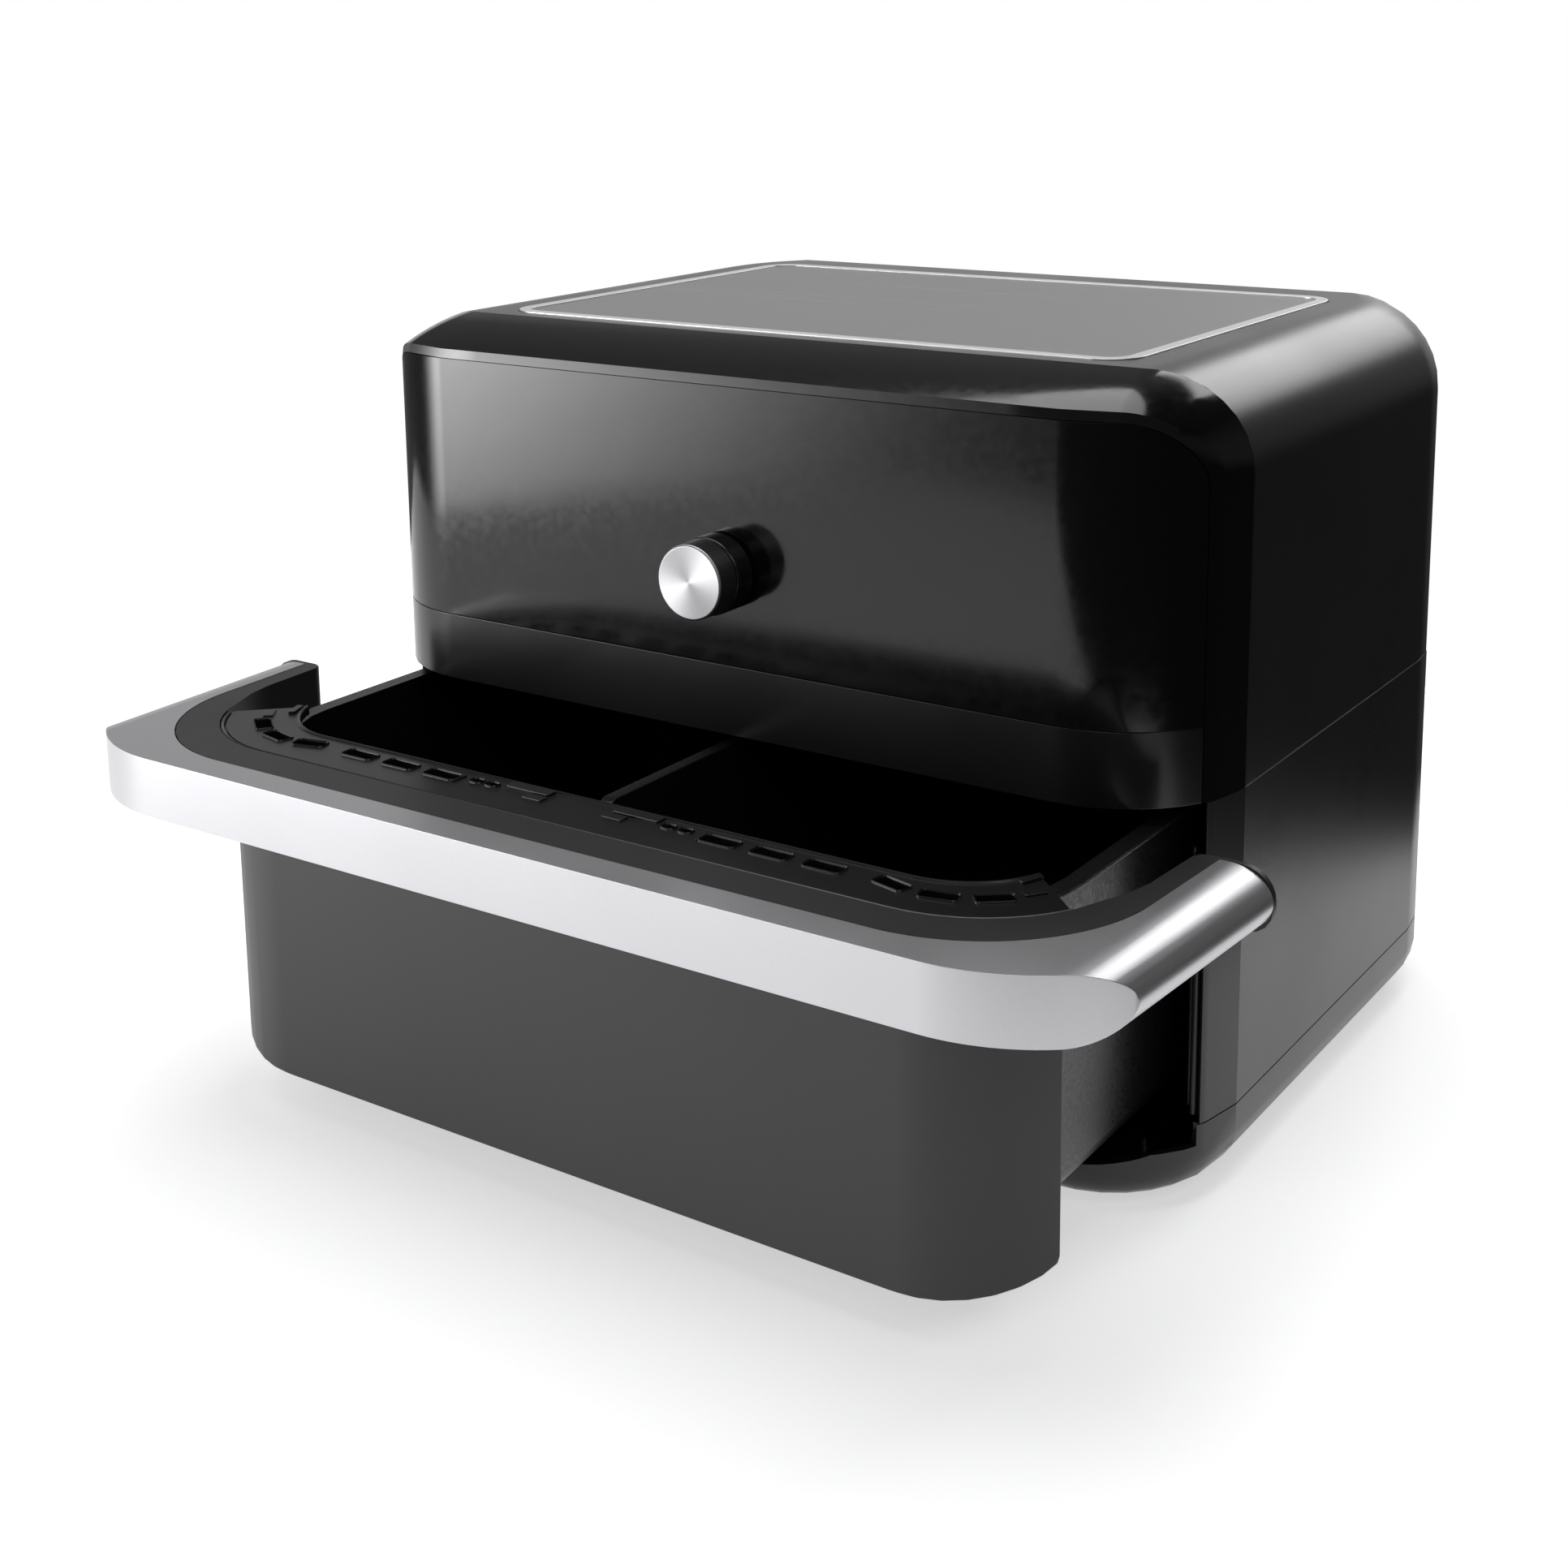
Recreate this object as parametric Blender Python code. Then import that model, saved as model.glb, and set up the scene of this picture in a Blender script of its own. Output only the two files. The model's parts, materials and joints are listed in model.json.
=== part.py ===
"""Air fryer with one wide two-zone drawer, modelled with the drawer part-way open.

Sizes below are in millimetres and become metres in one place, add_solid(). x runs to the object's right seen
from the front, z is up from the surface it stands on, and "depth" is measured back from the flat front of
the housing, so that the front itself is depth 0. Drawer pieces are drawn where they sit when it is shut.
"""

import math

import bmesh
import bpy
from mathutils import Matrix, Vector

MM = 0.001
GAP = 0.3

# Housing, seen from above
HALF_WIDTH = 210.0
BODY_DEPTH = 330.0
FRONT_CORNER = 56.0
REAR_CORNER = 68.0
FACET_ANGLE = math.radians(68)
OPENING_ANGLE = math.radians(62)
WALL = 2.6

# Heights
FOOT_HEIGHT = 5.0
TRAY_TOP = 33.5
SPLIT = 167.2
BAND_TOP = 198.0
PANEL_TOP = 316.8
SHELL_TOP = 331.9
ARCH_RADIUS = 40.0
UNDER_SIDE_RADIUS = 17.0
UNDER_FRONT_REACH = 7.0
UNDER_FRONT_RISE = 12.0

# Drawer
TRAVEL = 114.4
DRAWER_BOTTOM = 19.3
DRAWER_CORNER_X = 150.0
DRAWER_CORNER_RISE = 16.0
RIM_TOP = 165.6
BASKET_TOP = 162.0
BASKET_BOTTOM = 30.0
BASKET_HALF_WIDTH = 185.5
BASKET_FRONT = 24.0
BASKET_REAR = 292.0
BASKET_CORNER = 40.0
BASKET_WALL = 1.5
BASKET_TAPER = 5.0
PLATE_LEVEL = 40.0

# Handle. Its arms spread a little towards the rear, where their half width is measured.
HANDLE_REACH = 38.2
ARM_HALF_WIDTH = 252.4
ARM_FLARE = math.radians(3.2)
ARM_END = 98.0
CAP_THICKNESS = 2.8
HANDLE_TOP = 167.0
HANDLE_BOTTOM = 141.8
HANDLE_CORNER = 66.0
COVER_DEPTH = 14.6
COVER_INNER_END = 231.6
COVER_INNER_CORNER = 70.0
CORE_CLEARANCE = 5.5

DIAL_HEIGHT = 238.6

# Cooking zones
ZONE_X = 92.0
ZONE_DEPTH = 158.0
LINER_BOTTOM = 168.5
LINER_TOP = 214.0

# Top inlay
INLAY_HALF_WIDTH = 159.0
INLAY_FRONT = 50.0
INLAY_REAR = 278.0
TRIM_WIDTH = 6.0

GLAND_LENGTH = 12.0
INLET_X = 0.0
INLET_HEIGHT = 90.0
FRONT_Y = (TRAVEL + HANDLE_REACH - BODY_DEPTH - GLAND_LENGTH) / 2

SIDES = {"left": -1, "right": 1}


# ---------------------------------------------------------------- scene and meshes


def clear_scene():
    for item in list(bpy.data.objects):
        bpy.data.objects.remove(item, do_unlink=True)


def make_material(name, colour, roughness, metallic=0.0):
    material = bpy.data.materials.new(name)
    material.use_nodes = True
    shader = material.node_tree.nodes["Principled BSDF"]
    shader.inputs["Base Color"].default_value = (*colour, 1.0)
    shader.inputs["Roughness"].default_value = roughness
    shader.inputs["Metallic"].default_value = metallic
    return material


def make_materials():
    return {
        "housing": make_material("satin_black_plastic", (0.012, 0.012, 0.013), 0.38),
        "gloss": make_material("gloss_black_plastic", (0.008, 0.008, 0.009), 0.08),
        "front": make_material("matte_dark_grey_front", (0.035, 0.035, 0.037), 0.55),
        "silver": make_material("satin_silver", (0.72, 0.72, 0.72), 0.28, 1.0),
        "inlay": make_material("brushed_dark_metal", (0.22, 0.22, 0.23), 0.35, 1.0),
        "core": make_material("matte_black_plastic", (0.02, 0.02, 0.021), 0.5),
        "coating": make_material("nonstick_coating", (0.015, 0.015, 0.016), 0.4),
        "rubber": make_material("black_rubber", (0.02, 0.02, 0.02), 0.8),
        "silicone": make_material("grey_silicone", (0.12, 0.12, 0.12), 0.7),
        "steel": make_material("steel", (0.55, 0.55, 0.56), 0.35, 1.0),
        "board": make_material("green_circuit_board", (0.02, 0.12, 0.05), 0.5),
    }


def add_solid(name, points, faces, material):
    """A closed mesh object. points are (x, depth, z) in millimetres."""
    mesh = bpy.data.meshes.new(name)
    mesh.from_pydata([(x * MM, (FRONT_Y + y) * MM, z * MM) for x, y, z in points], [], faces)
    shape = bmesh.new()
    shape.from_mesh(mesh)
    bmesh.ops.recalc_face_normals(shape, faces=shape.faces)
    shape.to_mesh(mesh)
    shape.free()
    mesh.materials.append(material)
    finish_shading(mesh)
    item = bpy.data.objects.new(name, mesh)
    bpy.context.scene.collection.objects.link(item)
    return item


def finish_shading(mesh):
    mesh.shade_smooth()
    mesh.set_sharp_from_angle(angle=math.radians(30))


def combine(item, tool, operation):
    """Applies a Boolean to item and removes the tool object."""
    modifier = item.modifiers.new(operation.lower(), "BOOLEAN")
    modifier.operation = operation
    modifier.solver = "EXACT"
    modifier.object = tool
    bpy.context.view_layer.update()
    evaluated = item.evaluated_get(bpy.context.evaluated_depsgraph_get())
    result = bpy.data.meshes.new_from_object(evaluated)
    item.modifiers.clear()
    item.data = result
    bpy.data.objects.remove(tool, do_unlink=True)
    finish_shading(result)
    return item


def cut(item, tool):
    return combine(item, tool, "DIFFERENCE")


def join(item, tool):
    return combine(item, tool, "UNION")


def keep_inside(item, tool):
    return combine(item, tool, "INTERSECT")


def add_empty(name, x, depth, z):
    empty = bpy.data.objects.new(name, None)
    empty.location = Vector((x, FRONT_Y + depth, z)) * MM
    bpy.context.scene.collection.objects.link(empty)
    return empty


def attach(empty, pieces, home=None):
    """Parents pieces to an empty that sits on their joint. home is where the pieces were drawn around it."""
    home = empty.location.copy() if home is None else home
    for piece in pieces:
        piece.data.transform(Matrix.Translation(-home))
        piece.parent = empty


# ---------------------------------------------------------------- solids


def loft(name, rings, material):
    """Skins rings that all hold the same number of points, with a flat cap at each end."""
    count = len(rings[0])
    points = [point for ring in rings for point in ring]
    faces = [tuple(range(count)), tuple(range(len(points) - count, len(points)))]
    for here in range(0, len(points) - count, count):
        for j in range(count):
            k = (j + 1) % count
            faces.append((here + j, here + k, here + count + k, here + count + j))
    return add_solid(name, points, faces, material)


def upright_prism(name, outline, low, high, material):
    """outline is a closed list of (x, depth)."""
    rings = [[(x, y, z) for x, y in outline] for z in (low, high)]
    return loft(name, rings, material)


def deep_prism(name, outline, near, far, material):
    """outline is a closed list of (x, z), carried from depth near to depth far."""
    rings = [[(x, y, z) for x, z in outline] for y in (near, far)]
    return loft(name, rings, material)


def blocks(name, outlines, low, high, material):
    """One mesh of separate upright prisms on closed outlines of (x, depth)."""
    points = []
    faces = []
    for outline in outlines:
        first = len(points)
        count = len(outline)
        points += [(x, y, z) for z in (low, high) for x, y in outline]
        faces.append(tuple(range(first, first + count)))
        faces.append(tuple(range(first + count, first + 2 * count)))
        for j in range(count):
            k = (j + 1) % count
            faces.append((first + j, first + k, first + count + k, first + count + j))
    return add_solid(name, points, faces, material)


def boxes(name, footprints, low, high, material):
    """One mesh of separate boxes, each (x0, x1, depth0, depth1)."""
    outlines = [[(x0, y0), (x1, y0), (x1, y1), (x0, y1)] for x0, x1, y0, y1 in footprints]
    return blocks(name, outlines, low, high, material)


def turned(name, profile, centre, material, axis="z", segments=24):
    """Turns (radius, height) points about an upright axis, or about one that runs front to back."""
    cx, cy, cz = centre
    points = []
    rows = []
    for radius, height in profile:
        steps = segments if radius > 0 else 1
        rows.append([len(points) + i for i in range(steps)])
        for i in range(steps):
            turn = 2 * math.pi * i / segments
            across = radius * math.cos(turn)
            along = radius * math.sin(turn)
            if axis == "z":
                points.append((cx + across, cy + along, cz + height))
            else:
                points.append((cx + across, cy + height, cz + along))
    on_axis = profile[0][0] == 0
    pairs = list(zip(rows, rows[1:]))
    if not on_axis:
        pairs.append((rows[-1], rows[0]))
    faces = []
    for first, second in pairs:
        for i in range(segments):
            k = (i + 1) % segments
            corners = [first[i % len(first)], first[k % len(first)], second[k % len(second)], second[i % len(second)]]
            faces.append(tuple(dict.fromkeys(corners)))
    return add_solid(name, points, faces, material)


# ---------------------------------------------------------------- outlines


def arc(cx, cy, radius, start, end, steps):
    """Points on an arc, both ends included. Angles are in radians."""
    turns = [start + (end - start) * i / steps for i in range(steps + 1)]
    return [(cx + radius * math.cos(a), cy + radius * math.sin(a)) for a in turns]


def mirrored(points):
    return [(-x, y) for x, y in reversed(points)]


def rounded_rectangle(x0, x1, y0, y1, radius, steps=5):
    corners = [(x0, y0, math.pi), (x1, y0, -math.pi / 2), (x1, y1, 0.0), (x0, y1, math.pi / 2)]
    outline = []
    for x, y, start in corners:
        cx = x + radius if x == x0 else x - radius
        cy = y + radius if y == y0 else y - radius
        outline += arc(cx, cy, radius, start, start + math.pi / 2, steps)
    return outline


def front_corner(outset, start, end, steps=7):
    """The right front corner of the housing, seen from above. Angles run from straight ahead to the side."""
    radius = FRONT_CORNER + outset
    turns = [start + (end - start) * i / steps for i in range(steps + 1)]
    cx = HALF_WIDTH - FRONT_CORNER
    return [(cx + radius * math.sin(a), FRONT_CORNER - radius * math.cos(a)) for a in turns]


def front_path(outset, angle, steps=7):
    """Left to right across the front, ending at the same angle round each corner."""
    right = front_corner(outset, 0, angle, steps)
    return mirrored(right) + right


def front_depth(x):
    """How far back the housing's front lies at x, before the facet that ends each corner."""
    past = min(max(abs(x) - (HALF_WIDTH - FRONT_CORNER), 0), FRONT_CORNER)
    return FRONT_CORNER - math.sqrt(FRONT_CORNER**2 - past**2)


def front_sheet(outset, thickness, angle):
    """The outline of a sheet bent to the housing's front."""
    outer = front_path(outset, angle)
    inner = front_path(outset - thickness, angle)
    return outer + inner[::-1]


def housing_outline(inset=0.0, rear_steps=6):
    """The whole housing seen from above, anticlockwise from the left end of the front."""
    front = front_corner(-inset, 0, FACET_ANGLE, 6) + [(HALF_WIDTH - inset, FRONT_CORNER)]
    rear_x = HALF_WIDTH - REAR_CORNER
    rear = arc(rear_x, BODY_DEPTH - REAR_CORNER, REAR_CORNER - inset, 0, math.pi / 2, rear_steps)
    right = front + rear
    return right + mirrored(right)


def arch(half_width, top, radius, base, steps=8):
    """An open arch of (x, z) from the right foot over to the left foot."""
    right = [(half_width, base)] + arc(half_width - radius, top - radius, radius, 0, math.pi / 2, steps)
    return right + mirrored(right)


def crease_depth(z):
    """Where the bezel ends and the side shell begins: nearer the front on top than at the sides."""
    rise = min(max((z - (SHELL_TOP - ARCH_RADIUS)) / ARCH_RADIUS, 0), 1)
    return FRONT_CORNER - 16.0 * (1 - math.sqrt(1 - rise**2))


# ---------------------------------------------------------------- housing


def housing_ring(depth, inset=0.0, drop=GAP):
    """The arch of the upper housing at one depth, narrowing and dropping towards the rear."""
    back = max(depth - (BODY_DEPTH - REAR_CORNER), 0)
    half_width = HALF_WIDTH - REAR_CORNER + math.sqrt(REAR_CORNER**2 - min(back, REAR_CORNER) ** 2)
    rear_edge = 30.0
    over = min(max(depth - (BODY_DEPTH - rear_edge), 0), rear_edge)
    top = SHELL_TOP - rear_edge + math.sqrt(rear_edge**2 - over**2)
    return arch(half_width - inset, top - inset, ARCH_RADIUS - inset, SPLIT + drop)


def top_housing(materials):
    rear_end = BODY_DEPTH - 18.0
    depths = [FRONT_CORNER + 4, BODY_DEPTH - REAR_CORNER]
    depths += [BODY_DEPTH - REAR_CORNER + REAR_CORNER * math.sin(math.radians(a)) for a in (12, 24, 36)]
    depths.append(rear_end)
    rings = []
    outer = housing_ring(FRONT_CORNER)
    inner = housing_ring(FRONT_CORNER, WALL)
    edge = [(x, crease_depth(z), z) for x, z in outer]
    edge += [(x, crease_depth(zo), z) for (x, z), (_, zo) in zip(inner[::-1], outer[::-1])]
    rings.append(edge)
    for depth in depths:
        outer = [(x, depth, z) for x, z in housing_ring(depth)]
        inner = [(x, depth, z) for x, z in housing_ring(depth, WALL)]
        rings.append(outer + inner[::-1])
    shell = loft("top_housing", rings, materials["housing"])
    pocket = rounded_rectangle(
        -INLAY_HALF_WIDTH - GAP, INLAY_HALF_WIDTH + GAP, INLAY_FRONT - GAP, INLAY_REAR + GAP, 16.0
    )
    return cut(shell, upright_prism("pocket", pocket, SHELL_TOP - 1.5, SHELL_TOP + 5, materials["housing"]))


def front_bezel(materials):
    """The gloss arch round the control panel: a shallow slope from the side shell down to the panel's edge."""
    steps = 8
    edge_x = front_corner(0, OPENING_ANGLE, OPENING_ANGLE, 1)[0][0]
    nose_x = front_corner(0, FACET_ANGLE, FACET_ANGLE, 1)[0][0]
    base = SPLIT + GAP
    nose_top = PANEL_TOP + 4.0
    crease = arch(HALF_WIDTH, SHELL_TOP, ARCH_RADIUS, base, steps)
    nose = arch(nose_x, nose_top, 29.0, base, steps)
    edge = arch(edge_x, PANEL_TOP, 26.0, base, steps)
    behind = arch(HALF_WIDTH - WALL, SHELL_TOP - WALL, ARCH_RADIUS - WALL, base, steps)
    rings = []
    for (cx, cz), (nx, nz), (ex, ez), (bx, bz) in zip(crease, nose, edge, behind):
        join_depth = crease_depth(cz) - GAP
        nose_depth = front_depth(nx) + 0.8
        edge_depth = front_depth(ex)
        bulge = 0.8 if cz > SHELL_TOP - ARCH_RADIUS else 0.3
        middle = ((cx + nx) / 2, (join_depth + nose_depth) / 2 - bulge, (cz + nz) / 2 + bulge * (cz - nz) / 11)
        rings.append(
            [
                (cx, join_depth, cz),
                middle,
                (nx, nose_depth, nz),
                (ex, edge_depth, ez),
                (ex, edge_depth + 5.0, ez),
                (bx, join_depth, bz),
            ]
        )
    return loft("front_bezel", rings, materials["gloss"])


def control_panel(materials):
    gap_angle = OPENING_ANGLE - GAP / FRONT_CORNER
    sheet = front_sheet(0, WALL, gap_angle)
    panel = upright_prism("control_panel", sheet, BAND_TOP + GAP, PANEL_TOP + 10, materials["gloss"])
    edge_x = front_corner(0, OPENING_ANGLE, OPENING_ANGLE, 1)[0][0]
    outline = arch(edge_x - GAP, PANEL_TOP - GAP, 26.0 - GAP, BAND_TOP - 5)
    panel = keep_inside(panel, deep_prism("panel_outline", outline, -5, 60, materials["gloss"]))
    hole = turned("shaft_hole", [(0, -4), (4.2, -4), (4.2, 6), (0, 6)], (0, 0, DIAL_HEIGHT), materials["gloss"], "y")
    return cut(panel, hole)


def front_band(materials):
    gap_angle = OPENING_ANGLE - GAP / FRONT_CORNER
    return upright_prism("front_band", front_sheet(0, 3.0, gap_angle), SPLIT + GAP, BAND_TOP, materials["core"])


def top_inlay(materials):
    """The brushed plate and the silver ring round it, both let into the top."""
    outer = rounded_rectangle(-INLAY_HALF_WIDTH, INLAY_HALF_WIDTH, INLAY_FRONT, INLAY_REAR, 16.0)
    plate_x = INLAY_HALF_WIDTH - TRIM_WIDTH
    near = INLAY_FRONT + TRIM_WIDTH
    far = INLAY_REAR - TRIM_WIDTH
    low = SHELL_TOP - 1.5 + GAP
    trim = upright_prism("top_trim", outer, low, SHELL_TOP + 0.5, materials["silver"])
    hole = rounded_rectangle(-plate_x, plate_x, near, far, 9.0)
    cut(trim, upright_prism("trim_hole", hole, low - 5, SHELL_TOP + 5, materials["silver"]))
    plate = rounded_rectangle(-plate_x + 0.5, plate_x - 0.5, near + 0.5, far - 0.5, 8.5)
    return [trim, upright_prism("top_plate", plate, low, SHELL_TOP + 0.1, materials["inlay"])]


def lower_housing(materials):
    """One wall that runs from the right corner pillar round the back to the left one."""
    edge_angle = OPENING_ANGLE + math.radians(2.6)
    outer = front_corner(0, edge_angle, FACET_ANGLE, 1) + housing_outline()[7:15]
    inset = 3.0
    inner_rear = arc(
        HALF_WIDTH - REAR_CORNER, BODY_DEPTH - REAR_CORNER, REAR_CORNER - inset, 0, math.pi / 2, 6
    )
    inner_x = HALF_WIDTH - 7.0
    inner = [(inner_x, 34.0), (inner_x, 60.0), (HALF_WIDTH - inset, 64.0)] + inner_rear
    outline = outer + mirrored(outer) + mirrored(inner)[::-1] + inner[::-1]
    wall = upright_prism("lower_housing", outline, TRAY_TOP + GAP, SPLIT, materials["housing"])
    inlet = (INLET_X, BODY_DEPTH - 1.5, INLET_HEIGHT)
    return cut(wall, turned("inlet_hole", [(0, -9), (5, -9), (5, 9), (0, 9)], inlet, materials["housing"], "y"))


def underside_ring(turn):
    """The base's outline part-way up its rounded lower edge, which is tighter along the front than at the sides."""
    ring = []
    for (x, y), (inner_x, inner_y) in zip(housing_outline(), housing_outline(1.0)):
        towards_side = min(y / FRONT_CORNER, 1)
        reach = UNDER_FRONT_REACH + (UNDER_SIDE_RADIUS - UNDER_FRONT_REACH) * towards_side
        rise = UNDER_FRONT_RISE + (UNDER_SIDE_RADIUS - UNDER_FRONT_RISE) * towards_side
        inset = reach * (1 - math.sin(turn))
        z = FOOT_HEIGHT + rise * (1 - math.cos(turn))
        ring.append((x + (inner_x - x) * inset, y + (inner_y - y) * inset, z))
    return ring


def base_tray(materials):
    """A dished base. Its front is open down to a low lip, which lies under the shut drawer front."""
    rings = [underside_ring(math.radians(turn)) for turn in (0, 22.5, 45, 67.5, 90)]
    rings.append([(x, y, TRAY_TOP) for x, y in housing_outline()])
    for inset, z in ((3.0, TRAY_TOP), (3.0, 25.0), (8.0, 13.0), (18.0, 9.0)):
        rings.append([(x, y, z) for x, y in housing_outline(inset)])
    tray = loft("base_tray", rings, materials["housing"])
    cut(tray, deep_prism("lip_opening", drawer_face(0.7), -10, 33, materials["housing"]))
    sweep = front_sheet(6.0, 10.5, OPENING_ANGLE + math.radians(1.5))
    cut(tray, upright_prism("front_sweep", sweep, DRAWER_BOTTOM + DRAWER_CORNER_RISE / 3, 45, materials["housing"]))
    for x, y in foot_places():
        hole = turned("foot_hole", [(0, 0), (1.9, 0), (1.9, 20), (0, 20)], (x, y, 0), materials["housing"], segments=10)
        cut(tray, hole)
    return tray


def foot_places():
    return [(side * x, y) for x, y in ((174.0, 48.0), (176.0, 276.0)) for side in (-1, 1)]


def feet(materials):
    pieces = []
    names = ["front_left", "front_right", "rear_left", "rear_right"]
    for name, (x, y) in zip(names, foot_places()):
        top = FOOT_HEIGHT - GAP
        profile = [(2.2, 3.2), (4.6, 3.2), (4.6, 0), (11.0, 0), (12.0, 1.0), (12.0, top), (2.2, top)]
        pieces.append(turned("foot_" + name, profile, (x, y, 0), materials["rubber"], segments=20))
        screw = [(0, 1.0), (4.0, 1.0), (4.0, 2.9), (1.5, 2.9), (1.5, 12.0), (0, 12.0)]
        pieces.append(turned("foot_screw_" + name, screw, (x, y, 0), materials["steel"], segments=10))
    return pieces


def rear_cover(materials):
    near = BODY_DEPTH - 18.0 + GAP
    outer_depths = [BODY_DEPTH, BODY_DEPTH - 1.2, BODY_DEPTH - 4.0, BODY_DEPTH - 10.0, near]
    inner_depths = [near, BODY_DEPTH - 12.0, BODY_DEPTH - 7.0, BODY_DEPTH - WALL]
    rings = [[(x, depth, z) for x, z in housing_ring(depth)] for depth in outer_depths]
    for depth in inner_depths:
        hollow = housing_ring(min(depth + WALL, BODY_DEPTH), WALL, GAP + WALL)
        rings.append([(x, depth, z) for x, z in hollow])
    cover = loft("rear_cover", rings, materials["core"])
    for row in range(7):
        low = 215.0 + 10.0 * row
        footprints = [(x - 24, x + 24, BODY_DEPTH - 8, BODY_DEPTH + 4) for x in (-70, 70)]
        cut(cover, boxes("vent_slots", footprints, low, low + 4.5, materials["core"]))
    for x, z in rear_screw_places():
        hole = [(0, -12), (1.9, -12), (1.9, 8), (0, 8)]
        cut(cover, turned("screw_hole", hole, (x, BODY_DEPTH, z), materials["core"], "y", 10))
    return cover


def rear_screw_places():
    return [(side * 122.0, z) for z in (185.0, 290.0) for side in (-1, 1)]


def rear_screws(materials):
    pieces = []
    names = ["lower_left", "lower_right", "upper_left", "upper_right"]
    for name, (x, z) in zip(names, rear_screw_places()):
        profile = [(0, -9.0), (1.5, -9.0), (1.5, GAP), (3.6, GAP), (3.2, 2.2), (0, 2.2)]
        place = (x, BODY_DEPTH, z)
        pieces.append(turned("rear_screw_" + name, profile, place, materials["steel"], "y", 10))
    return pieces


def cord_gland(materials):
    """The bushing where the mains cord would leave, with its collar outside and its neck through the wall."""
    profile = [(2.5, -8), (4.5, -8), (4.5, GAP), (9.0, GAP), (9.0, 5.0), (6.0, GLAND_LENGTH), (2.5, GLAND_LENGTH)]
    return turned("cord_gland", profile, (INLET_X, BODY_DEPTH, INLET_HEIGHT), materials["rubber"], "y", 20)


def slide_rails(materials):
    pieces = []
    for name, side in SIDES.items():
        inner = BASKET_HALF_WIDTH + BASKET_WALL + 2.5
        outer = HALF_WIDTH - 3.0 - GAP
        section = [(inner, 155.0), (inner, 158.5), (outer, 158.5), (outer, 145.0), (outer - 2.5, 145.0), (outer - 2.5, 155.0)]
        outline = [(side * x, z) for x, z in section]
        pieces.append(deep_prism("slide_rail_" + name, outline, 68.0, 255.0, materials["steel"]))
    return pieces


# ---------------------------------------------------------------- cooking zone and drive


def cooking_liner(materials):
    """The sheet-metal ceiling over the drawer, open below, with a hole for each fan shaft."""
    x, near, far = 190.0, 14.0, 300.0
    rings = []
    for inset, z in ((14, LINER_TOP), (0, LINER_TOP - 14), (0, LINER_BOTTOM)):
        outline = rounded_rectangle(-x + inset, x - inset, near + inset, far - inset, 30.0)
        rings.append([(px, py, z) for px, py in outline])
    for inset, z in ((1.2, LINER_BOTTOM), (1.2, LINER_TOP - 14.4), (14.4, LINER_TOP - 1.2)):
        outline = rounded_rectangle(-x + inset, x - inset, near + inset, far - inset, 30.0 - 1.2)
        rings.append([(px, py, z) for px, py in outline])
    liner = loft("cooking_liner", rings, materials["steel"])
    for side in SIDES.values():
        hole = [(0, -5), (6, -5), (6, 5), (0, 5)]
        cut(liner, turned("shaft_hole", hole, (side * ZONE_X, ZONE_DEPTH, LINER_TOP), materials["steel"], segments=16))
    return liner


def chassis_plate(materials):
    plate = upright_prism(
        "chassis_plate", rounded_rectangle(-188, 188, 62, 296, 25.0), LINER_TOP + 3, LINER_TOP + 4.5, materials["steel"]
    )
    for side in SIDES.values():
        hole = [(0, -5), (6, -5), (6, 8), (0, 8)]
        place = (side * ZONE_X, ZONE_DEPTH, LINER_TOP)
        cut(plate, turned("shaft_hole", hole, place, materials["steel"], segments=16))
    return plate


def heater(name, x, materials):
    tube, ring = 3.2, 72.0
    profile = [(ring + tube * math.cos(a * math.pi / 3), tube * math.sin(a * math.pi / 3)) for a in range(6)]
    return turned(name, profile, (x, ZONE_DEPTH, 181.0), materials["steel"], segments=28)


def heater_guard(name, x, materials):
    disc = turned(name, [(0, 0), (84, 0), (84, 1.2), (0, 1.2)], (x, ZONE_DEPTH, 171.0), materials["steel"], segments=28)
    slots = []
    for row in range(-3, 4):
        y = ZONE_DEPTH + row * 14
        slots += [(x - 54, x - 6, y - 4, y + 4), (x + 6, x + 54, y - 4, y + 4)]
    return cut(disc, boxes("guard_slots", slots, 168, 175, materials["steel"]))


def bladed_wheel(name, x, low, thickness, radius, blade_height, blades, materials):
    """A disc on a hub with flat blades standing under it."""
    hub = 3.5
    profile = [(hub, 0), (radius, 0), (radius, thickness), (hub, thickness)]
    wheel = turned(name, profile, (x, ZONE_DEPTH, low), materials["steel"], segments=24)
    points = []
    faces = []
    for i in range(blades):
        turn = 2 * math.pi * (i + 0.5) / blades
        along = (math.cos(turn), math.sin(turn))
        across = (-along[1] * 0.6, along[0] * 0.6)
        first = len(points)
        for z in (low - blade_height, low + thickness / 2):
            for reach, side in ((hub + 6, -1), (hub + 6, 1), (radius - 1, 1), (radius - 1, -1)):
                px = x + along[0] * reach + across[0] * side
                py = ZONE_DEPTH + along[1] * reach + across[1] * side
                points.append((px, py, z))
        for face in ((0, 1, 2, 3), (7, 6, 5, 4), (0, 4, 5, 1), (1, 5, 6, 2), (2, 6, 7, 3), (3, 7, 4, 0)):
            faces.append(tuple(first + corner for corner in face))
    return join(wheel, add_solid("blades", points, faces, materials["steel"]))


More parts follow.
